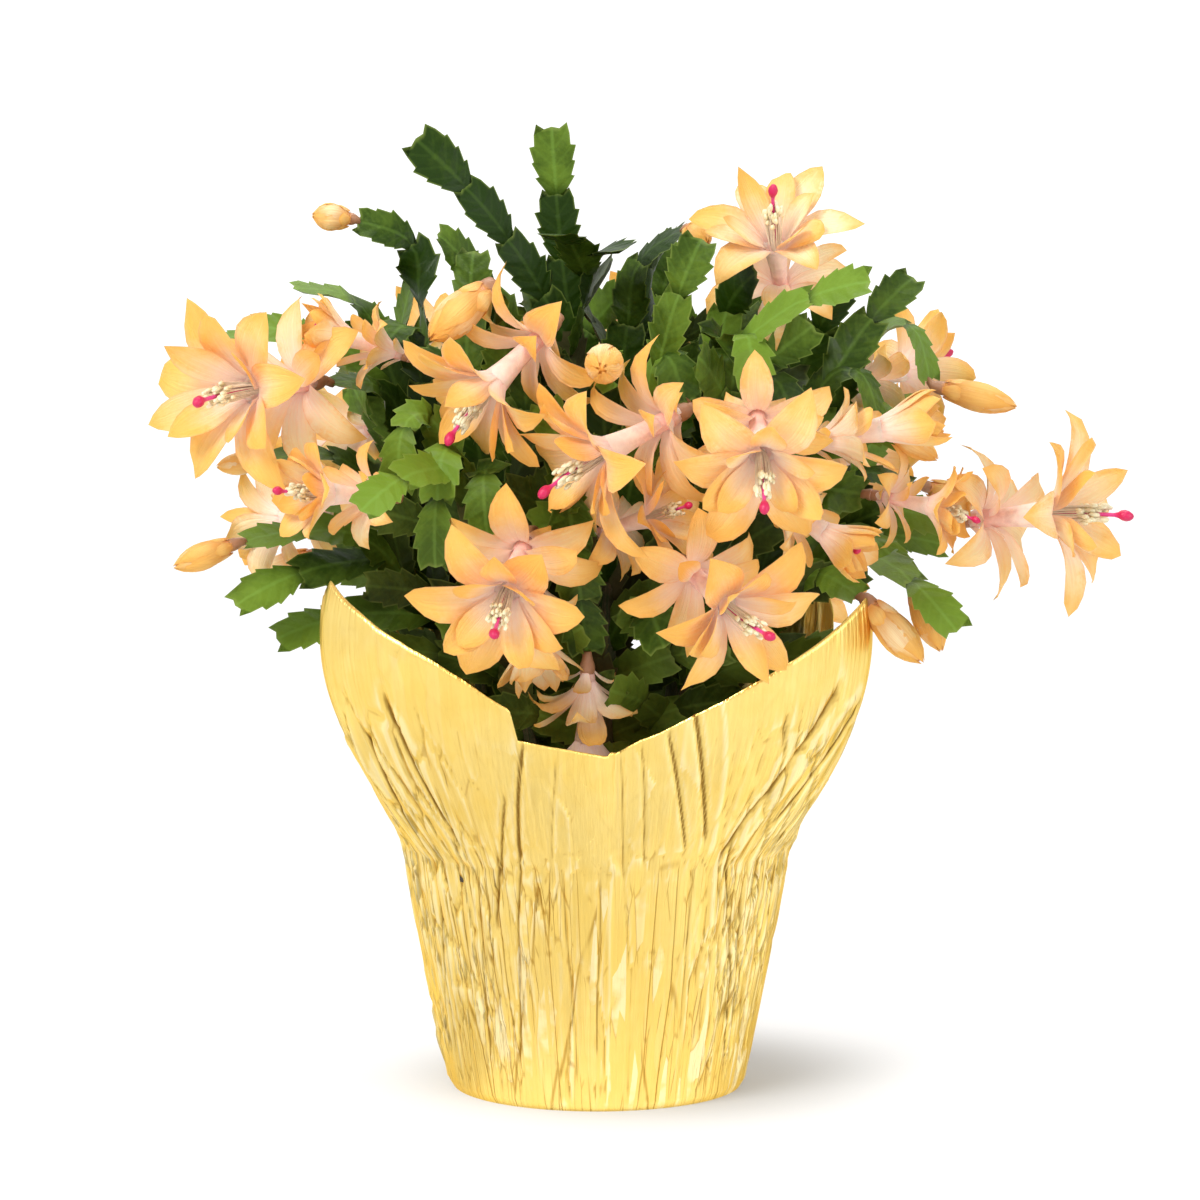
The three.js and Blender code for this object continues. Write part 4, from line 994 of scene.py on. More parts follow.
def folds_at(azimuth, z, corner, settings):
    """How far the foil stands out from its smooth form, in millimetres."""
    draws = np.random.default_rng(11)
    out = np.zeros_like(z)
    on_wall = smooth(0, 10, z) * (1 - smooth(COVER_WAIST - 6, COVER_WAIST + 16, z))
    on_brim = smooth(COVER_WAIST - 6, COVER_WAIST + 18, z)
    waist = np.exp(-(((z - COVER_WAIST - 4) / 9) ** 2))
    gathered = smooth(0.35, 0.8, corner) * (1 - smooth(140, 176, z)) * smooth(6, 60, z)
    for *line, depth in FOLDS:
        out += crease(azimuth, z, *line, depth * settings.fold_depth / MM)
    for i in range(settings.pleats):
        start = 360 * (i + 0.9 * draws.uniform(-0.5, 0.5)) / settings.pleats
        low = draws.choice([-12, -12, 8, 30, 50])
        high = COVER_WAIST + draws.choice([-40, -12, 6, 30])
        depth = draws.uniform(0.15, 0.6) * draws.choice([1, -1, -1])
        lean = draws.uniform(-3, 3)
        out += crease(azimuth, z, start, low, start + lean, high, draws.uniform(1.0, 2.2), depth)
    wide = clouds_at(azimuth / 15, z / 60, 24, 5)
    out += 0.6 * wide * on_wall + 1.2 * wide * on_brim * smooth(COVER_WAIST, 170, z)
    # Long patches on the wall and the brim, then narrow ones at the corners, then short ones at the waist.
    tilt, line = patches(azimuth / 9, z / 62, 40, 17, 0.1)
    out += 1.1 * tilt * on_wall + 0.6 * tilt * on_brim - line * (0.3 * on_wall + 0.15 * on_brim)
    busy = smooth(-0.4, 0.6, clouds_at(azimuth / 12, z / 40, 30, 31))
    tilt, line = patches(azimuth / 3.6, z / 34 + azimuth / 30, 100, 23, 0.16)
    out += busy * on_wall * (0.3 * tilt - 0.15 * line) + gathered * (1.3 * tilt - 1.4 * line)
    tilt, line = patches(azimuth / 5, z / 9 + azimuth / 40, 72, 41, 0.14)
    patchy = smooth(0.2, 0.7, clouds_at(azimuth / 18, z / 22, 20, 13))
    return out + (1.0 * tilt - 0.5 * line) * (0.8 * waist + patchy * on_wall)


def blurred(grid, times):
    """Averages a grid of heights that runs right round the cover."""
    for _ in range(times):
        ring = grid[:, :-1]
        grid = (ring + np.roll(ring, 1, axis=1) + np.roll(ring, -1, axis=1)) / 3
        grid = np.concatenate([grid, grid[:, :1]], axis=1)
        grid[1:-1] = (grid[:-2] + 2 * grid[1:-1] + grid[2:]) / 4
    return grid


def foil_cover(settings, material):
    """The creased foil: a grid bent to the cover, with how hollow and how folded it is at each point, for
    the painted shade and highlight of its material.
    """
    rows = BASE_ROWS + WALL_ROWS + BRIM_ROWS
    bm = bmesh.new()
    gridded(bm, COVER_COLUMNS, rows)
    mesh = meshed("foil_pot_cover", bm)
    turn, rise, _ = mesh_points(mesh)
    azimuth = (180 * (turn + 1)) % 360
    row = np.round((rise + 1) / 2 * rows)
    top, corner = brim_edge(azimuth)
    share = (row - BASE_ROWS - WALL_ROWS) / BRIM_ROWS
    z = np.where(
        row <= BASE_ROWS + WALL_ROWS,
        COVER_WAIST * np.maximum(row - BASE_ROWS, 0) / WALL_ROWS,
        COVER_WAIST + (top - COVER_WAIST) * np.maximum(share, 0),
    )
    out = folds_at(azimuth, z, corner, settings) * smooth(0, 3, z)
    radius = cover_radius(z, corner) + FOIL_STANDOFF + out - FOOT_INSET * (1 - smooth(0, 4, z))
    radius = np.where(row < BASE_ROWS, radius * row / BASE_ROWS, radius)
    a = np.radians(azimuth)
    place_points(mesh, np.stack([radius * np.sin(a), -radius * np.cos(a), z], axis=1))
    column = np.round((turn + 1) / 2 * COVER_COLUMNS).astype(int)
    spot = row.astype(int), column
    # How hollow each point is, from its relief: the material paints shade in the hollows and highlight on
    # the ridges.
    relief = np.zeros((rows + 1, COVER_COLUMNS + 1))
    relief[spot] = out
    near, far = blurred(relief, 2), blurred(relief, 10)
    hollow = (near - relief) / 0.5 + (far - near) / 1.1
    painted_fold_shade = np.zeros_like(z)
    # The main grooves, where the material paints a dark line of shade.
    for *line, _, depth in FOLDS:
        if depth < 0:
            painted_fold_shade += crease(azimuth, z, *line, FOLD_LINE, min(-depth / DEEP_FOLD, 1))
    add_trait(mesh, "hollow", np.clip(hollow, -1, 1)[spot])
    add_trait(mesh, "fold", painted_fold_shade)
    bm = bmesh.new()
    bm.from_mesh(mesh)
    bmesh.ops.remove_doubles(bm, verts=bm.verts, dist=SAME_PLACE)
    bmesh.ops.recalc_face_normals(bm, faces=bm.faces)
    if sum(face.normal.dot(face.calc_center_median()) for face in bm.faces) < 0:
        bmesh.ops.reverse_faces(bm, faces=bm.faces)
    bm.to_mesh(mesh)
    bm.free()
    piece = finished("foil_pot_cover", mesh, "foil_cover", [material])
    shell = piece.modifiers.new("thickness", "SOLIDIFY")
    shell.thickness = settings.foil_thickness
    shell.offset = -1
    return piece


# Leaves

# Rows of half a pad: share along the midrib, share along at the edge, share of half width.
PAD_ROWS = [
    (-0.03, -0.05, 0.30),
    (0.08, 0.09, 0.56),
    (0.19, 0.26, 0.90),
    (0.25, 0.275, 0.76),
    (0.38, 0.49, 1.05),
    (0.45, 0.505, 0.87),
    (0.61, 0.735, 1.07),
    (0.68, 0.745, 0.87),
    (0.84, 0.92, 0.86),
    (1.00, 1.085, 0.68),
]
# Columns of a pad from the midrib out: share of half width, share of half thickness.
PAD_COLUMNS = [(0.0, 1.0), (0.5, 0.62), (1.0, 0.0)]
# How far the end of a pad reaches past its joint in each column: its horns stand out.
PAD_END = [0.03, 0.0, 0.085]
PAD_JITTER = 0.06
PAD_FOLD, PAD_FOLD_VARIETY = 0.16, 0.14
WOODY_AGE, WOODY_SLIMNESS, WOODY_FATNESS = 0.75, 0.72, 1.7
# Tone of a pad, which paints its shade and light: its painted shade at the leaves' heart, the painted
# light it gains outward, how it varies, and what age and the painted shade on the high spires take from
# it.
SHADE_TONE, SUN_TONE, TONE_VARIETY = -0.75, 1.2, 0.36
AGE_SHADE, SPIRE_SHADE, SPIRE_HEIGHTS = 0.3, 0.6, (310, 350)
STALK_SIDES, STALK_RINGS = 8, 25
STALK_KNOTS, STALK_ROUGHNESS = 0.16, 0.06


def pad_points(template, run, k, half, thickness, fold, seed):
    """Bends the pad template to one segment of a run."""
    start, end = run.joints[k], run.joints[k + 1]
    length = np.linalg.norm(end - start)
    rows = np.array(PAD_ROWS)
    row = (template.along + 1) / 2 * (len(rows) - 1)
    index = np.round(row).astype(int)
    columns = np.array(PAD_COLUMNS)
    column = np.round(np.abs(template.across) * (len(columns) - 1)).astype(int)
    v = columns[column, 0]
    side = np.sign(template.across)
    flare = np.array([wobble(seed + 1.7 * i + 0.3 * s) for i in range(len(rows)) for s in (0, 1)])
    jitter = 1 + PAD_JITTER * flare[index * 2 + (side > 0)]
    w = rows[index, 2] * v * jitter
    s = rows[index, 0] + (rows[index, 1] - rows[index, 0]) * v**1.6
    last = index == len(rows) - 1
    s = np.where(last, 1 + np.array(PAD_END)[column], s)
    c = np.clip(s, 0, 1)[:, None]
    h0, h1 = run.heading[k] * length, run.heading[k + 1] * length
    spine = (
        (2 * c**3 - 3 * c**2 + 1) * start
        + (c**3 - 2 * c**2 + c) * h0
        + (3 * c**2 - 2 * c**3) * end
        + (c**3 - c**2) * h1
    )
    tangent = unit(
        (6 * c**2 - 6 * c) * start
        + (3 * c**2 - 4 * c + 1) * h0
        + (6 * c - 6 * c**2) * end
        + (3 * c**2 - 2 * c) * h1
    )
    spine = spine + tangent * (s[:, None] - c) * length
    width = run.across[k] * (1 - c) + run.across[k + 1] * c
    width = unit(width - tangent * np.sum(width * tangent, axis=1, keepdims=True))
    normal = np.cross(tangent, width)
    swell = 0.85 + 0.3 * np.sin(math.pi * np.clip(s, 0, 1))
    depth = template.face * columns[column, 1] * thickness * swell
    ripple = 0.5 * np.sin(6.3 * (1.6 * s + wobble(seed)) + side) * v**2
    lift = -fold * half * np.abs(w) ** 1.3 + ripple
    return (
        spine
        + width * (side * w * half)[:, None]
        + normal * (depth + lift)[:, None]
    )


def tube_points(template, centres, radii, u, v):
    """Bends the tube template along centres with radii, given two directions across it."""
    spot = (template.along + 1) / 2 * (len(centres) - 1)
    index = np.round(spot).astype(int)
    r = np.asarray(radii, float)[index][:, None]
    return centres[index] + r * (template.across[:, None] * u + template.face[:, None] * v)


def stalk_points(template, run, seed):
    """Bends the stalk template along the joints of a run, a little thicker at each."""
    spots = np.linspace(0, run.pads, STALK_RINGS)
    index = np.arange(run.pads + 1)
    centres = np.stack([np.interp(spots, index, run.joints[:, i]) for i in range(3)], axis=1)
    knots = 1 + STALK_KNOTS * np.cos(2 * math.pi * spots)
    rough = 1 + STALK_ROUGHNESS * np.array([wobble(seed + i) for i in range(STALK_RINGS)])
    across = run.across[0]
    other = np.cross(run.heading[0], across)
    return tube_points(template, centres, STALK_RADIUS * knots * rough, across, other)


def clear_of_cover(joints):
    """Whether joints of a twig stay inside the foil cover, or well above its brim."""
    for x, y, z in joints:
        azimuth = np.array([math.degrees(math.atan2(x, -y)) % 360])
        top, corner = brim_at(azimuth)
        room = cover_radius(z, corner[0]) - WALL_ROOM
        if z < top[0] + WALL_ROOM and math.hypot(x, y) > room:
            return False
    return True


def leafy_stems(settings, leaf, bark):
    """Every leafy stem as one piece: its stalk, its chains of pads with their twigs, and inner twigs."""
    pad = blade_template("pad", 4, len(PAD_ROWS) - 1, False)
    stalk = tube_template("stalk", STALK_SIDES, STALK_RINGS - 1, 1)
    half = settings.pad_width / 2 / MM
    length = settings.pad_length / MM
    thickness = settings.rib_thickness / 2 / MM

    def grow(growth, run, seed, old=0.0, width=1.0):
        for k in range(run.pads):
            woody = k < run.woody
            age = max(old, WOODY_AGE if woody else 0.0)
            size = 1 + PAD_VARIETY * wobble(k * 3.7 + run.joints[k][0])
            fat = WOODY_FATNESS if woody else 1.0
            slim = WOODY_SLIMNESS if woody else 1.0
            fold = PAD_FOLD + PAD_FOLD_VARIETY * wobble(seed + 2.3 * k)
            wide = half * size * slim * width
            points = pad_points(pad, run, k, wide, thickness * fat, fold, seed + 9 * k)
            # A pad's tone is painted shade and light: dark at the leaves' heart and on the high spires,
            # lighter outward, with random variety and a darkening with age.
            outer = np.linalg.norm((run.joints[k + 1] - LEAF_HEART) / (LEAF_ROOM * 1.3))
            tone = SHADE_TONE + SUN_TONE * outer + TONE_VARIETY * wobble(seed + 5.3 * k) - AGE_SHADE * age
            tone -= SPIRE_SHADE * smooth(*SPIRE_HEIGHTS, run.joints[k + 1][2])
            growth.add(pad, points, tone, age)

    for name, laid in LAID_STEMS.items():
        growth = Growth()
        for order, run in enumerate(laid.values()):
            seed = 13.7 * order + run.joints[-1][0]
            fine = run.finer(length)
            if run.rooted:
                growth.add(stalk, stalk_points(stalk, run, seed), 0.3, 1.0)
            else:
                grow(growth, fine, seed)
            for i, twig in enumerate(run.twigs):
                grow(growth, twig.finer(length), seed + 31 * (i + 1))
            for joint in range(1, fine.pads + 1 if run.rooted else fine.pads):
                for side in (-1, 1):
                    drawn = wobble(seed + 7.9 * joint + side) > INNER_TWIG_CHANCE
                    twig = trace_twig(fine, joint, side)
                    reach = np.linalg.norm((twig.joints - LEAF_HEART) / LEAF_ROOM, axis=1).max()
                    low = run.rooted and twig.joints[:, 2].min() > SOIL_TOP + SOIL_ROOM
                    if (low or reach < 1 and drawn) and clear_of_cover(twig.joints):
                        inner = twig.finer(length)
                        grow(growth, inner, seed + 53 * joint + side, INNER_TWIG_AGE, INNER_TWIG_WIDTH)
        growth.piece(f"{name}_pads", name, "leaf", [leaf, bark], ["tone", "age"])


# Blooms and buds

# Shares along a petal, and its width at each as a share of its widest.
PETAL_SHARE = [0.0, 0.12, 0.25, 0.38, 0.5, 0.62, 0.75, 0.87, 1.0]
PETAL_WIDTH = [0.36, 0.48, 0.68, 0.89, 1.0, 0.97, 0.75, 0.42, 0.0]

# Whorls of petals: station on the tube, its radius there, petals, phase, half width, then the open and
# the closed course as middle and tip, each [distance out, distance along].
WHORLS = [
    (7.5, 3.0, 3, 0.3, 3.6, [(8, 12), (12.5, 9)], [(6.5, 14), (9, 20)]),
    (12, 3.6, 6, 0.5, 7.0, [(16, 18), (30, 9)], [(9, 27), (17, 34)]),
    (17, 3.8, 3, 0.2, 5.8, [(15, 26), (27, 26)], [(8.5, 33), (11, 43)]),
    (36.5, 4.9, 3, 0.75, 7.2, [(15, 50), (27, 57)], [(6.5, 51), (3.0, 66)]),
    (38, 5.2, 6, 1.0, 8.6, [(18, 48), (36, 47)], [(7.5, 52), (3.5, 69)]),
    (38.5, 5.0, 4, 0.4, 6.4, [(12, 51), (21, 61)], [(5.5, 51), (2.5, 64)]),
]
# Width in metres of a petal in the fourth whorl. The other whorls widen and narrow with it.
DRAWN_WIDTH = 0.0144
PETAL_THICKNESS = 0.3
PETAL_RUFFLE, PETAL_KEEL, PETAL_TWIST = 0.09, 0.08, 0.28
PETAL_SWING = 2.6
# A petal leaves the tube in this direction, and holds it for about this share of the way to its middle.
PETAL_START, PETAL_START_REACH = [0.25, 1], 0.5
# Shares along a petal between which it unrolls, and the least radius that it is wrapped round.
UNROLL_SHARES, LEAST_WRAP = (0.05, 0.5), 3.0
RUFFLE_PITCH, RUFFLE_WAVES, KEEL_WIDTH = 6.3, 1.3, 0.2
# Shares of PETAL_THICKNESS: that of a petal's foot, and those lost to its edges and to its tip.
FOOT_THICKNESS, EDGE_THINNING, TIP_THINNING = 1.2, 0.6, 0.5


class Axis:
    """The line of a bloom or bud: it leaves its seat along the stem, then turns to the facing."""

    def __init__(self, stem, run, facing, size):
        laid = LAID_STEMS[stem][run]
        heading = laid.heading[-1]
        self.w = unit(vector(facing))
        side = np.array([0.0, 1.0, 0.0]) if abs(self.w[2]) > 0.95 else UP
        self.u = unit(np.cross(side, self.w))
        self.v = np.cross(self.w, self.u)
        self.size = size
        self.start = laid.joints[-1] + SEAT_GAP * heading
        self.bend = self.start + size * (3 * heading + 2 * self.w)

    def at(self, s):
        return self.bend + np.multiply.outer((np.asarray(s) - 5) * self.size, self.w)


def petal_points(template, axis, root, course, half, angle, cup, wrap, seed):
    """Bends the petal template along a course from the tube, wrapped round it at its foot."""
    root, middle, tip = vector(root), *map(vector, course)
    first = root + PETAL_START_REACH * np.linalg.norm(middle - root) * unit(vector(PETAL_START))
    second = (8 * middle - root - 3 * first - tip) / 3
    t = ((template.along + 1) / 2)[:, None]
    line = bezier(root, first, second, tip, t)
    slope = unit(
        3 * (first - root) * (1 - t) ** 2
        + 6 * (second - first) * (1 - t) * t
        + 3 * (tip - second) * t**2
    )
    t = t[:, 0]
    out = axis.u * math.cos(angle) + axis.v * math.sin(angle)
    side = np.cross(axis.w, out)
    back = np.outer(slope[:, 1], out) - np.outer(slope[:, 0], axis.w)
    x = template.across * half * np.interp(t, PETAL_SHARE, PETAL_WIDTH)
    curve = 1 / np.maximum(line[:, 0], LEAST_WRAP)
    free = smooth(*UNROLL_SHARES, t) * (1 - wrap)
    curve = curve * (1 - free) + cup * free
    swing = np.clip(curve * x, -PETAL_SWING, PETAL_SWING)
    wave = np.sin(RUFFLE_PITCH * (RUFFLE_WAVES * t + wobble(seed)))
    ruffle = PETAL_RUFFLE * half * wave * template.across**2 * t
    ridge = np.exp(-((template.across / KEEL_WIDTH) ** 2)) * np.sin(math.pi * t)
    keel = PETAL_KEEL * half * ridge * (1 - wrap)
    twist = PETAL_TWIST * wobble(seed + 3) * t * template.across * half * (1 - wrap)
    thinner = (1 - EDGE_THINNING * template.across**2) * (FOOT_THICKNESS - TIP_THINNING * t)
    depth = template.face * PETAL_THICKNESS * thinner
    lift = -(1 - np.cos(swing)) / curve + ruffle + keel + twist + depth / axis.size
    return (
        axis.at(line[:, 1])
        + np.outer(line[:, 0] * axis.size, out)
        + np.outer(np.sin(swing) / curve * axis.size, side)
        + back * (lift * axis.size)[:, None]
    )


def spun_points(template, axis, profile):
    """Bends the tube template to a profile of [station, radius] along the axis."""
    stations, radii = np.array(profile, float).T
    return tube_points(template, axis.at(stations), radii * axis.size, axis.u, axis.v)


# Station and radius along the ovary, along the flower's tube and along the core of a bud, where the
# radius is a share of the bud's width.
FOOT_PROFILE = [(1.5, 0), (1.6, 1.5), (3.2, 2.0), (4.5, 2.8), (6.5, 3.2), (8.2, 3.1), (9.6, 2.6), (9.8, 0)]
TUBE_PROFILE = [
    (8, 0), (8.2, 2.7), (11, 3.2), (14, 3.3), (20, 3.4), (27, 3.8), (33, 4.5), (38, 5.3),
    (39, 5.0), (36, 3.6), (34, 2.6), (34, 0),
]
BUD_CORE = [
    (6, 0), (6.2, 0.22), (9, 0.32), (12, 0.39), (15, 0.44), (18, 0.46), (21, 0.45), (24, 0.41),
    (27, 0.33), (30, 0.22), (33, 0.08), (33.6, 0),
]
THROAT_STATION = 36
STYLE_STATIONS = [36, 36.5, 42, 48, 54, 59, 63, 64.5, 65.6, 67, 68.4, 69.5, 70]
STYLE_RADII = [0, 0.85, 0.82, 0.8, 0.78, 0.74, 0.72, 1.1, 1.8, 2.1, 1.8, 1.0, 0]
STYLE_BOW = 0.0035
SHORT_STYLE = 0.62
STAMEN_SHARES = [0, 0.02, 0.3, 0.6, 0.84, 0.88, 0.93, 0.98, 1.0]
STAMEN_RADII = [0, 0.24, 0.2, 0.18, 0.17, 0.78, 0.9, 0.68, 0]
STAMEN_REACH, STAMEN_REACH_VARIETY = 57, 5.5
STAMEN_SPREAD, STAMEN_SPREAD_VARIETY = 2.6, 1.5
STAMEN_ROOT, STAMEN_BULGE = 1.6, 0.48
STAMEN_TURN = 2.4
# The neck starts this far inside the stem's last pad.
NECK_OVERLAP = 0.8
BLOOM_NECK_STATIONS, BUD_NECK_STATIONS = [2, 3, 4, 5], [2, 4, 6, 8]
BLOOM_NECK_RADII = [0, 1.6, 1.8, 2.0, 2.2, 2.4, 2.4, 0]
BUD_NECK_RADII = [0, 1.17, 1.44, 1.89, 2.43, 2.61, 2.43, 0]
# A bud's scales and closed petals: station, radius, count, phase, half width, then the course as middle
# and tip, each [distance out, station]. Distances out and widths are shares of the bud's width.
BUD_WHORLS = [
    (6.5, 0.3, 4, 0.0, 0.3, [(0.42, 11), (0.46, 17)]),
    (8, 0.3, 5, 0.5, 0.42, [(0.52, 19), (0.14, 33.5)]),
    (8, 0.28, 5, 0.0, 0.42, [(0.49, 20), (0.06, 35)]),
]
BUD_CUP = 0.1
# Length of a bud that has the size of these stations, and width of a bud with the neck as given.
DRAWN_BUD, DRAWN_BUD_WIDTH = 30, 10
SCALE_SPREAD_VARIETY, SCALE_TURN_VARIETY = 0.03, 0.12

# Tone of a surface that has none of its own, then the tone of a bloom's petals, which falls from whorl to
# whorl.
PLAIN_TONE = 0.5
BLOOM_TONE, BLOOM_TONE_VARIETY, PETAL_TONE_VARIETY, WHORL_TONE_STEP = 0.66, 0.34, 0.4, 0.06
# How far the petals of a bloom stray from its openness and from WHORLS.
OPENNESS_VARIETY, MOST_OPEN = 0.1, 1.06
PETAL_LENGTH_VARIETY, PETAL_WIDTH_VARIETY, PETAL_TURN_VARIETY, PETAL_TIP_VARIETY = 0.09, 0.1, 0.2, 5
PETAL_CUP, PETAL_CUP_VARIETY = 0.05, 0.03
# A petal unwraps from the tube this much faster than it opens.
WRAP_PACE = 1.3
# A bloom that is no more open than this has the short style.
HALF_OPEN = 0.5
# Steps of the seeds from whorl to whorl, petal to petal and stamen to stamen.
WHORL_SEED, PETAL_SEED, STAMEN_SEED = 7.1, 1.9, 3.3


def neck_points(template, axis, stations, radii):
    """Bends the foot template from the stem's end to the ovary."""
    neck = np.array([axis.start - NECK_OVERLAP * axis.w, *axis.at(stations)])
    neck = np.concatenate([neck[:1], neck[:1], neck, neck[-1:]])
    return tube_points(template, neck, radii, axis.u, axis.v)


def bloom_petals(growth, template, axis, openness, number, widen):
    """Adds the whorls of a bloom's petals, each petal a little unlike the others."""
    mood = BLOOM_TONE + BLOOM_TONE_VARIETY * wobble(number + 0.37)
    for order, (station, radius, count, phase, half, opened, closed) in enumerate(WHORLS):
        for i in range(count):
            seed = number + WHORL_SEED * order + PETAL_SEED * i
            open_here = np.clip(openness + OPENNESS_VARIETY * wobble(seed + 5), 0, MOST_OPEN)
            stretch = 1 + PETAL_LENGTH_VARIETY * wobble(seed)
            root = vector([radius - 0.5, station])
            course = vector(opened) * open_here + vector(closed) * (1 - open_here)
            course = root + (course - root) * stretch
            course[1] += [0, PETAL_TIP_VARIETY * wobble(seed + 9) * open_here]
            angle = 2 * math.pi * (i + phase) / count + PETAL_TURN_VARIETY * wobble(seed + 2)
            wide = half * widen * (1 + PETAL_WIDTH_VARIETY * wobble(seed + 4))
            cup = PETAL_CUP + PETAL_CUP_VARIETY * wobble(seed + 6)
            wrap = 1 - min(open_here * WRAP_PACE, 1)
            points = petal_points(template, axis, root, course, wide, angle, cup, wrap, seed)
            tone = mood + PETAL_TONE_VARIETY * wobble(seed + 8) - WHORL_TONE_STEP * order
            growth.add(template, points, tone)


def bloom(name, axis, openness, settings, templates, materials):
    """A bloom as two pieces: its petals with the tube and ovary, and its stamens with the style."""
    petal, foot, tube, style, stamen = templates
    growth = Growth()
    number = sum(map(ord, name))
    growth.add(foot, neck_points(foot, axis, BLOOM_NECK_STATIONS, BLOOM_NECK_RADII), PLAIN_TONE)
    growth.add(foot, spun_points(foot, axis, FOOT_PROFILE), PLAIN_TONE)
    growth.add(tube, spun_points(tube, axis, TUBE_PROFILE), PLAIN_TONE)
    bloom_petals(growth, petal, axis, openness, number, settings.petal_width / DRAWN_WIDTH)
    growth.piece(f"{name}_petals", name, "petal", materials[:3], ["tone"])

    growth = Growth()
    short = 1.0 if openness > HALF_OPEN else SHORT_STYLE
    sway = unit(axis.u * wobble(number) + axis.v * wobble(number + 1))

    def along(stations):
        stations = THROAT_STATION + (np.array(stations) - THROAT_STATION) * short
        bow = STYLE_BOW * (stations - THROAT_STATION) ** 2 * axis.size
        return axis.at(stations) + np.outer(bow, sway)

    radii = np.array(STYLE_RADII) * axis.size
    growth.add(style, tube_points(style, along(STYLE_STATIONS), radii, axis.u, axis.v), PLAIN_TONE)
    shares = np.array(STAMEN_SHARES)
    radii = np.array(STAMEN_RADII) * axis.size**0.5
    for i in range(settings.stamens):
        seed = number + STAMEN_SEED * i
        angle = STAMEN_TURN * i
        out = axis.u * math.cos(angle) + axis.v * math.sin(angle)
        reach = STAMEN_REACH + STAMEN_REACH_VARIETY * wobble(seed)
        spread = STAMEN_SPREAD + STAMEN_SPREAD_VARIETY * wobble(seed + 1)
        line = along(THROAT_STATION + (reach - THROAT_STATION) * shares)
        away = STAMEN_ROOT + (spread - STAMEN_ROOT) * shares + STAMEN_BULGE * np.sin(math.pi * shares)
        centres = line + np.outer(away * axis.size, out)
        growth.add(stamen, tube_points(stamen, centres, radii, axis.u, axis.v), PLAIN_TONE)
    growth.piece(f"{name}_stamens", None, "petal", materials[3:], ["tone"])


def bud(name, axis, width, templates, materials):
    """A closed bud as one piece: its neck, its core and the scales and petals wrapped round it."""
    petal, foot, tube = templates[:3]
    growth = Growth()
    number = sum(map(ord, name))
    radii = np.array(BUD_NECK_RADII) * width / DRAWN_BUD_WIDTH
    growth.add(foot, neck_points(foot, axis, BUD_NECK_STATIONS, radii), PLAIN_TONE)
    r = width / axis.size
    growth.add(tube, spun_points(tube, axis, [(s, share * r) for s, share in BUD_CORE]), PLAIN_TONE)
    for order, (station, radius, count, phase, half, course) in enumerate(BUD_WHORLS):
        for i in range(count):
            seed = number + WHORL_SEED * order + PETAL_SEED * i
            root = vector([radius * r, station])
            spots = [(out * r * (1 + SCALE_SPREAD_VARIETY * wobble(seed)), s) for out, s in course]
            angle = 2 * math.pi * (i + phase) / count + SCALE_TURN_VARIETY * wobble(seed + 2)
            points = petal_points(petal, axis, root, spots, half * r, angle, BUD_CUP, 1.0, seed)
            growth.add(petal, points, PLAIN_TONE + 0.5 * wobble(seed + 8))
    growth.piece(f"{name}_scales", name, "bud", materials, ["tone"])


# Pot and soil

POT_STEPS, SOIL_STEPS, SOIL_RINGS = 96, 90, 24
# Rings of the pot's floor round the middle of its drain holes, and the bevel of its foot.
FLOOR_RINGS = [-8, -5.5, -3, -1, 1, 3, 5.5, 8]
POT_BEVEL = 1.2
CRUMB_SIZES = (0.7, 2.1)
CRUMB_MARGIN = 3
# How far a crumb stands out, as a share of its radius, its least and greatest width and its height.
CRUMB_RISE, CRUMB_WIDTHS, CRUMB_HEIGHT = 0.2, (0.6, 1), 0.7


def pot_radius(z):
    """Outer radius of the pot's wall at a height."""
    return COVER_BASE_RADIUS + COVER_WALL_SLOPE * min(z, COVER_WAIST) - COVER_THICKNESS - POT_SLACK


def spun(profile, steps):
    """Spins a profile of [radius, height] that starts and ends on the axis round Z."""
    bm = bmesh.new()
    verts = [bm.verts.new((r * MM, 0, z * MM)) for r, z in profile]
    edges = [bm.edges.new(pair) for pair in zip(verts, verts[1:])]
    bmesh.ops.spin(
        bm, geom=verts + edges, cent=(0, 0, 0), axis=(0, 0, 1), angle=2 * math.pi, steps=steps,
        use_merge=True,
    )
    bmesh.ops.remove_doubles(bm, verts=bm.verts, dist=SAME_PLACE / 2)
    return bm


def kept(bm, name, node, material):
    """Turns a closed bmesh into a finished piece that stands for a node of the frame."""
    bmesh.ops.recalc_face_normals(bm, faces=bm.faces)
    return finished(name, meshed(name, bm), node, [material])


def pierce(bm, x, y, radius):
    """Cuts a round hole through both skins of a flat floor."""
    centre = Vector((x, y)) * MM
    radius *= MM
    gone = [
        face for face in bm.faces
        if (face.calc_center_median().xy - centre).length < radius and abs(face.normal.z) > 0.9
    ]
    bmesh.ops.delete(bm, geom=gone, context="FACES")
    rim = [edge for edge in bm.edges if edge.is_boundary]
    for vert in {vert for edge in rim for vert in edge.verts}:
        vert.co.xy = centre + (vert.co.xy - centre).normalized() * radius
    bmesh.ops.bridge_loops(bm, edges=rim)


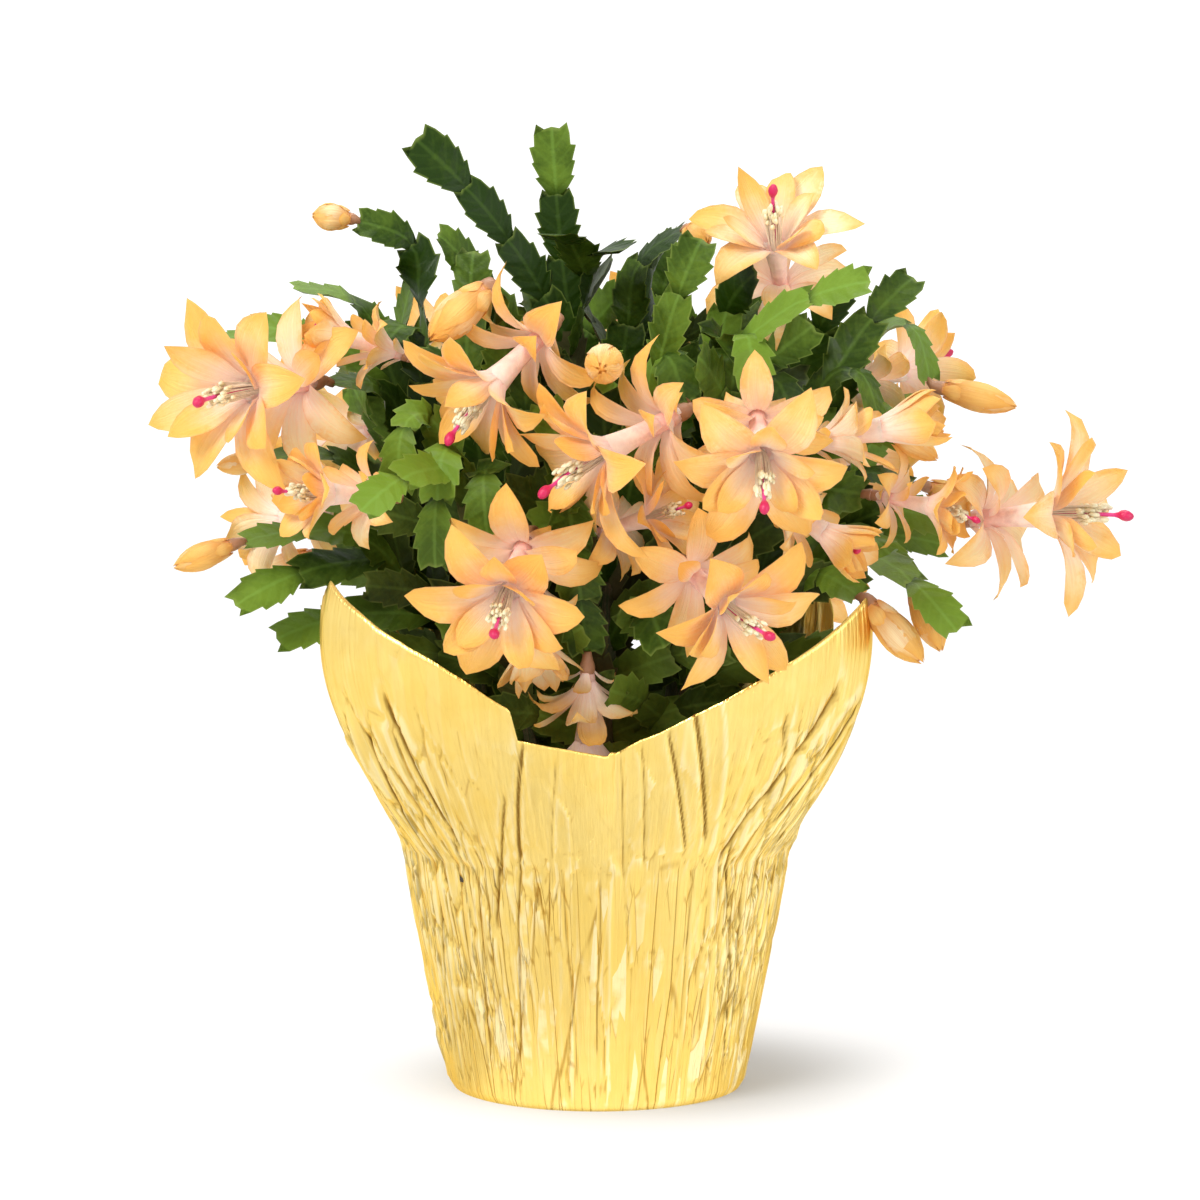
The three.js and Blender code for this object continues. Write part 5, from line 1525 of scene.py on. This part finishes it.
def nursery_pot(material):
    """A tapered pot with a wider rolled rim and a ring of drain holes in its floor."""
    foot = COVER_THICKNESS + POT_LIFT
    inner = foot + POT_WALL
    rim_foot = POT_HEIGHT - POT_RIM_DEPTH
    base = pot_radius(foot)
    neck = pot_radius(rim_foot) - POT_RIM_STEP
    rim = pot_radius(COVER_WAIST) - POT_RIM_EASE
    rings = [DRAIN_HOLE_RING + step for step in FLOOR_RINGS]
    outside = [
        (0, foot), *((r, foot) for r in rings), (base - POT_BEVEL, foot), (base, foot + POT_BEVEL),
        (neck - 0.3, rim_foot - 1), (neck + 0.5, rim_foot + 0.2), (rim - 0.3, rim_foot + 0.6),
        (rim, rim_foot + 1.6), (rim, POT_HEIGHT - 0.7), (rim - 0.7, POT_HEIGHT),
    ]
    inside = [
        (rim - POT_WALL, POT_HEIGHT - 0.4), (rim - POT_WALL, rim_foot + 2), (neck - POT_WALL, rim_foot),
        (base - POT_WALL, inner), *((r, inner) for r in reversed(rings)), (0, inner),
    ]
    bm = spun(outside + inside, POT_STEPS)
    bmesh.ops.recalc_face_normals(bm, faces=bm.faces)
    for i in range(DRAIN_HOLES):
        a = 2 * math.pi * i / DRAIN_HOLES
        pierce(bm, DRAIN_HOLE_RING * math.cos(a), DRAIN_HOLE_RING * math.sin(a), DRAIN_HOLE_RADIUS)
    return kept(bm, "tapered_pot", "nursery_pot", material)


def potting_soil(settings, material):
    """Lumpy soil that rises to the middle, with loose crumbs pressed into it."""
    foot = COVER_THICKNESS + POT_LIFT + POT_WALL + SOIL_GAP
    low = pot_radius(0) - POT_WALL - 2 * SOIL_GAP
    top = pot_radius(SOIL_TOP) - POT_RIM_STEP - POT_WALL - 4 * SOIL_GAP
    edge = SOIL_TOP - SOIL_EDGE
    shares = np.linspace(1, 0, SOIL_RINGS)
    rings = [(top * math.sin(math.pi / 2 * share), edge) for share in shares]
    bm = spun([(0, foot), (low, foot), *rings], SOIL_STEPS)
    draws = np.random.default_rng(5)

    def crest(x, y):
        spot = np.array([x, y])
        lumps = clouds_at(*(spot / 11 + [40, 0]), 99, 3) + 0.6 * clouds_at(*(spot / 4 + [40, 0]), 99, 9)
        return (SOIL_MOUND + SOIL_EDGE) * (1 - (math.hypot(x, y) / top) ** 2) + SOIL_LUMPS * lumps

    for vert in bm.verts:
        if vert.co.z > (edge - 1) * MM:
            vert.co.z += crest(vert.co.x / MM, vert.co.y / MM) * MM
    for _ in range(settings.crumbs):
        r, a = (top - CRUMB_MARGIN) * draws.uniform(0, 1) ** 0.5, draws.uniform(0, 2 * math.pi)
        x, y = r * math.cos(a), r * math.sin(a)
        size = draws.uniform(*CRUMB_SIZES)
        place = Matrix.Translation(Vector((x, y, edge + crest(x, y) + CRUMB_RISE * size)) * MM)
        squash = Matrix.Diagonal((1, draws.uniform(*CRUMB_WIDTHS), CRUMB_HEIGHT, 1))
        bmesh.ops.create_icosphere(bm, subdivisions=1, radius=size * MM, matrix=place @ squash)
    return kept(bm, "crumbly_soil", "potting_soil", material)


# Settings


def count(name, description, value):
    return IntProperty(name=name, description=description, default=value)


def length(name, description, value):
    return FloatProperty(name=name, description=description, default=value, unit="LENGTH")


def colour(name, description, *value):
    return FloatVectorProperty(name=name, description=description, default=value, subtype="COLOR")


class FoilSettings(bpy.types.PropertyGroup):
    """Sizes and colours of the foil pot cover"""

    pleats: count("Pleats", "Creases that run down the wall", 64)
    fold_depth: length("Fold depth", "Depth that a fold of depth one has", 0.001)
    foil_thickness: length("Foil thickness", "Thickness of the folded foil", 0.0004)
    foil: colour("Foil", "Colour of the gold foil", 0.94, 0.71, 0.23)
    # Colour of the foil's darker mottle, and of its darker patches, which are painted reflection.
    foil_deep: colour("Deep foil", "Colour of the foil's darker patches", 0.90, 0.64, 0.16)
    # Painted highlight on the foil's ridges and in its glints.
    foil_ridge_highlight: colour("Ridges", "Colour of the foil's ridges", 1.0, 0.87, 0.50)
    # Painted shade in the deepest folds.
    foil_fold_shade: colour("Foil fold", "Colour of the deepest folds", 0.20, 0.10, 0.015)
    # Painted shade in the foil's creases, fine wrinkles, hollows and crease lines.
    foil_crease_shade: colour("Creases", "Colour of the foil in its creases", 0.50, 0.29, 0.05)


class LeafSettings(bpy.types.PropertyGroup):
    """Sizes and colours of the leafy stems"""

    pad_length: length("Pad length", "Length of a pad from joint to joint", 0.0245)
    pad_width: length("Pad width", "Width of a flat pad between its teeth", 0.0175)
    rib_thickness: length("Rib thickness", "Thickness of a pad at its midrib", 0.0022)
    leaf_dark: colour("Dark leaf", "Colour of the pads in the shade", 0.013, 0.035, 0.001)
    # The light leaf colour is that of the outer pads: partly their younger growth, partly painted light on
    # the outer side.
    leaf_light: colour("Light leaf", "Colour of the young pads", 0.155, 0.262, 0.024)
    leaf_rib: colour("Midrib", "Colour of the midrib and veins", 0.2, 0.36, 0.06)
    leaf_rim: colour("Rim", "Colour of the pads' edges", 0.22, 0.30, 0.06)
    bark: colour("Bark", "Colour of the woody stalks", 0.11, 0.08, 0.035)


class BloomSettings(bpy.types.PropertyGroup):
    """Sizes and colours of the blooms and buds"""

    petal_width: length("Petal width", "Width of a petal of middle size", DRAWN_WIDTH)
    stamens: count("Stamens", "Stamens in a bloom", 42)
    petal: colour("Petal", "Colour of the middle of a petal", 0.97, 0.61, 0.20)
    petal_tip: colour("Petal tip", "Colour of a petal's end", 0.93, 0.45, 0.08)
    petal_pale: colour("Pale petal", "Colour of the palest petals", 1.0, 0.84, 0.52)
    petal_vein: colour("Petal vein", "Colour of a petal's fine veins", 0.74, 0.31, 0.07)
    # The throat colour also tints the petals' painted glow near their foot.
    throat: colour("Throat", "Colour of the petals' foot", 1.0, 0.77, 0.66)
    tube_pink: colour("Pink foot", "Colour where a petal leaves the tube", 0.97, 0.40, 0.42)
    ovary: colour("Ovary", "Colour of the ovary", 0.42, 0.20, 0.10)
    tube: colour("Tube", "Colour of the flower's tube", 0.93, 0.58, 0.50)
    style: colour("Style", "Colour of the style", 0.82, 0.06, 0.30)
    stigma: colour("Stigma", "Colour of the stigma", 0.66, 0.01, 0.10)
    thread: colour("Thread", "Colour of the stamens below their anthers", 0.93, 0.87, 0.72)
    anther: colour("Anther", "Colour of the anthers", 0.96, 0.90, 0.62)


class HolderSettings(bpy.types.PropertyGroup):
    """Colours of the nursery pot and the soil, and the soil's crumbs"""

    plastic: colour("Plastic", "Colour of the nursery pot", 0.03, 0.022, 0.018)
    peat: colour("Peat", "Colour of the soil", 0.035, 0.02, 0.012)
    crumbs: count("Crumbs", "Loose crumbs on the soil", 260)


class StageSettings(bpy.types.PropertyGroup):
    """Camera and floor"""

    floor: colour("Floor", "Colour of the floor", 0.34, 0.34, 0.34)
    distance: length("Camera distance", "From the camera to the plant", 2.3)
    span: length("View width", "Width that the camera sees at the plant", 0.48)
    elevation: FloatProperty(
        name="Camera elevation", description="Angle of the camera above the floor",
        default=math.radians(7), subtype="ANGLE",
    )


# Operators


class CACTUS_OT_foil_cover(bpy.types.Operator):
    """Make the gold foil pot cover"""

    bl_idname = "cactus.foil_cover"
    bl_label = "Foil cover"

    def execute(self, context):
        settings = context.scene.cactus_foil
        foil_cover(settings, foil_material(settings))
        return {"FINISHED"}


class CACTUS_OT_nursery_pot(bpy.types.Operator):
    """Make the nursery pot inside the cover"""

    bl_idname = "cactus.nursery_pot"
    bl_label = "Nursery pot"

    def execute(self, context):
        dark = context.scene.cactus_holder.plastic
        light = [1.6 * value for value in dark]
        nursery_pot(plain_material("pot_plastic", dark, light, 90.0, 0.55, 0.2 * MM))
        return {"FINISHED"}


class CACTUS_OT_potting_soil(bpy.types.Operator):
    """Make the soil in the pot"""

    bl_idname = "cactus.potting_soil"
    bl_label = "Potting soil"

    def execute(self, context):
        settings = context.scene.cactus_holder
        dark = settings.peat
        light = [2.2 * value for value in dark]
        potting_soil(settings, plain_material("peat", dark, light, 160.0, 0.95, 2 * MM))
        return {"FINISHED"}


class CACTUS_OT_leafy_stems(bpy.types.Operator):
    """Make the leafy stems with their toothed pads"""

    bl_idname = "cactus.leafy_stems"
    bl_label = "Leafy stems"

    def execute(self, context):
        settings = context.scene.cactus_leaf
        leafy_stems(settings, leaf_material(settings), bark_material(settings))
        return {"FINISHED"}


def flower_templates():
    """Templates of a petal, the ovary, the tube, the style and a stamen."""
    return (
        blade_template("petal", 4, 8, True, 0),
        tube_template("foot", 10, len(FOOT_PROFILE) - 1, 1),
        tube_template("tube", 12, len(TUBE_PROFILE) - 1, 2),
        tube_template("style", 8, len(STYLE_STATIONS) - 1, 0),
        tube_template("stamen", 4, len(STAMEN_SHARES) - 1, 1),
    )


class CACTUS_OT_blooms(bpy.types.Operator):
    """Make the blooms, each with its petals, stamens and style"""

    bl_idname = "cactus.blooms"
    bl_label = "Blooms"

    def execute(self, context):
        s = context.scene.cactus_bloom
        materials = [
            petal_material("petal_skin", s, s.petal_tip, s.throat, 0.16),
            banded_material("ovary_skin", s.ovary, s.tube, 0.9, 0.45),
            banded_material("flower_tube", s.tube, s.throat, 0.45, 0.5, **THIN_FLESH),
            banded_material("style_and_stigma", s.style, s.stigma, 0.6, 0.35),
            banded_material("stamen_thread", s.thread, s.anther, 0.62, 0.6),
        ]
        templates = flower_templates()
        for name, stem, run, facing, size, openness in BLOOMS:
            bloom(name, Axis(stem, run, facing, size), openness, s, templates, materials)
        return {"FINISHED"}


class CACTUS_OT_buds(bpy.types.Operator):
    """Make the closed buds"""

    bl_idname = "cactus.buds"
    bl_label = "Buds"

    def execute(self, context):
        s = context.scene.cactus_bloom
        materials = [
            # A bud's vein colour stands as its throat colour, so it also tints the buds' painted glow.
            petal_material("bud_skin", s, s.petal_tip, s.petal_vein, 0.35),
            banded_material("bud_foot", s.ovary, s.petal_vein, 0.8, 0.45),
            banded_material("bud_core", s.petal_vein, s.petal_tip, 0.5, 0.5),
        ]
        templates = flower_templates()
        for name, stem, run, facing, size, width in BUDS:
            bud(name, Axis(stem, run, facing, size / DRAWN_BUD), width, templates, materials)
        return {"FINISHED"}


# Place, width, power in watts and colour of each soft light.
LIGHTS = {
    "key_light": ((-1.1, -1.5, 1.7), 1.0, 42, (1.0, 0.985, 0.96)),
    "fill_light": ((1.7, -1.2, 0.9), 1.2, 12, (0.97, 0.98, 1.0)),
    "top_light": ((0.2, 0.6, 1.9), 1.2, 18, (1.0, 1.0, 1.0)),
}
LIGHT_AIM = (0, 0, 0.2)
CAMERA_AIM = (0.0012, 0, 0.196)
SENSOR_WIDTH = 36
FLOOR_RADIUS = 60.0


def soft_light(name, place, width, power, colour):
    light = bpy.data.lights.new(name, "AREA")
    light.shape = "RECTANGLE"
    light.size = light.size_y = width
    light.energy = power
    light.color = colour
    lamp = in_scene(name, light)
    lamp.location = place
    lamp.rotation_euler = (Vector(LIGHT_AIM) - Vector(place)).to_track_quat("-Z", "Y").to_euler()


def uneven_glow(tree, place, scale, low, high):
    """A cloudy brightness for what the foil mirrors, so that its wrinkles show."""
    return ranged(tree, noise(tree, place, scale, 1.0)[0], 0.38, 0.62, low, high)


def floor_material(colour):
    """A pale lit floor with a painted soft shadow round the pot, uneven only in what the foil mirrors."""
    material, tree, shader = new_material(
        "floor_paper", Roughness=0.9, Specular_IOR_Level=0.1, Emission_Strength=1.0
    )
    where = object_place(tree)
    away = vector_math(tree, "LENGTH", where)["Value"]
    values = {"Vector": where, "Location": (-0.022, -0.02, 0.0)}
    shifted = node(tree, "ShaderNodeMapping", values).outputs[0]
    beside = vector_math(tree, "LENGTH", shifted)["Value"]
    glow = ranged(tree, away, 0.4, 4.0, 0.7, 0.98)
    # A painted soft shadow: the floor glows less close beside the pot, a little off to one side.
    glow = product(tree, glow, ranged(tree, beside, 0.04, 0.125, 0.35, 1.0))
    mirrored = node(tree, "ShaderNodeLightPath").outputs["Is Glossy Ray"]
    even = product(tree, glow, arithmetic(tree, "SUBTRACT", 1.0, mirrored))
    uneven = uneven_glow(tree, where, 7.0, 0.45, 0.95)
    glow = grey(tree, scaled(tree, uneven, mirrored, even))
    dim = [0.97 * value for value in colour]
    paper = blended(tree, mottled(tree, where, 3.0, 0.25), colour, dim)
    feed(shader, Base_Color=paper, Emission_Color=glow)
    return material


def studio_world():
    """White to the camera, a softer light on what is dull, and uneven in what the foil mirrors."""
    world = bpy.data.worlds.new("white_studio")
    world.use_nodes = True
    tree = world.node_tree
    path = node(tree, "ShaderNodeLightPath").outputs
    way = node(tree, "ShaderNodeTexCoord").outputs["Generated"]
    strength = ranged(tree, path["Is Camera Ray"], 0.0, 1.0, 0.5, 1.0, "LINEAR")
    uneven = uneven_glow(tree, way, 2.2, 0.1, 0.75)
    mirrored = product(tree, path["Is Glossy Ray"], uneven)
    background = tree.nodes["Background"]
    background.inputs["Color"].default_value = (1.0, 1.0, 1.0, 1.0)
    feed(background, Strength=arithmetic(tree, "ADD", strength, mirrored))
    return world


class CACTUS_OT_stage(bpy.types.Operator):
    """Make the floor, the lights and the camera"""

    bl_idname = "cactus.stage"
    bl_label = "Stage"

    def execute(self, context):
        s = context.scene.cactus_stage
        bm = bmesh.new()
        bmesh.ops.create_circle(bm, cap_ends=True, radius=FLOOR_RADIUS, segments=96)
        floor = in_scene("floor", meshed("floor", bm))
        floor.data.materials.append(floor_material(s.floor))
        context.scene.world = studio_world()
        for name, light in LIGHTS.items():
            soft_light(name, *light)
        view = bpy.data.cameras.new("camera")
        camera = in_scene("camera", view)
        away = Vector((0, -math.cos(s.elevation), math.sin(s.elevation)))
        camera.location = Vector(CAMERA_AIM) + away * s.distance
        camera.rotation_euler = (-away).to_track_quat("-Z", "Y").to_euler()
        view.sensor_width = SENSOR_WIDTH
        view.lens = SENSOR_WIDTH * s.distance / s.span
        view.clip_start = 0.05
        view.clip_end = 200
        context.scene.camera = camera
        context.scene.view_settings.view_transform = "Standard"
        return {"FINISHED"}


class CACTUS_PT_panel(bpy.types.Panel):
    """Lists the pieces of the potted cactus"""

    bl_idname = "CACTUS_PT_panel"
    bl_label = "Potted christmas cactus"
    bl_space_type = "VIEW_3D"
    bl_region_type = "UI"
    bl_category = "Cactus"

    def draw(self, context):
        for group, _, operators in PANEL_ROWS:
            box = self.layout.box()
            settings = getattr(context.scene, group)
            for key in settings.__annotations__:
                box.prop(settings, key)
            for operator in operators:
                box.operator(operator.bl_idname)


# Each group of settings on the scene, with the operators that read it.
PANEL_ROWS = [
    ("cactus_foil", FoilSettings, [CACTUS_OT_foil_cover]),
    ("cactus_holder", HolderSettings, [CACTUS_OT_nursery_pot, CACTUS_OT_potting_soil]),
    ("cactus_leaf", LeafSettings, [CACTUS_OT_leafy_stems]),
    ("cactus_bloom", BloomSettings, [CACTUS_OT_blooms, CACTUS_OT_buds]),
    ("cactus_stage", StageSettings, [CACTUS_OT_stage]),
]


def register():
    for key, group, operators in PANEL_ROWS:
        bpy.utils.register_class(group)
        setattr(bpy.types.Scene, key, PointerProperty(type=group))
        for operator in operators:
            bpy.utils.register_class(operator)
    bpy.utils.register_class(CACTUS_PT_panel)


def unregister():
    bpy.utils.unregister_class(CACTUS_PT_panel)
    for key, group, operators in reversed(PANEL_ROWS):
        for operator in reversed(operators):
            bpy.utils.unregister_class(operator)
        delattr(bpy.types.Scene, key)
        bpy.utils.unregister_class(group)


def main():
    register()
    bpy.ops.cactus.stage()
    bpy.ops.cactus.foil_cover()
    bpy.ops.cactus.nursery_pot()
    bpy.ops.cactus.potting_soil()
    bpy.ops.cactus.leafy_stems()
    bpy.ops.cactus.blooms()
    bpy.ops.cactus.buds()


if __name__ == "__main__":
    main()
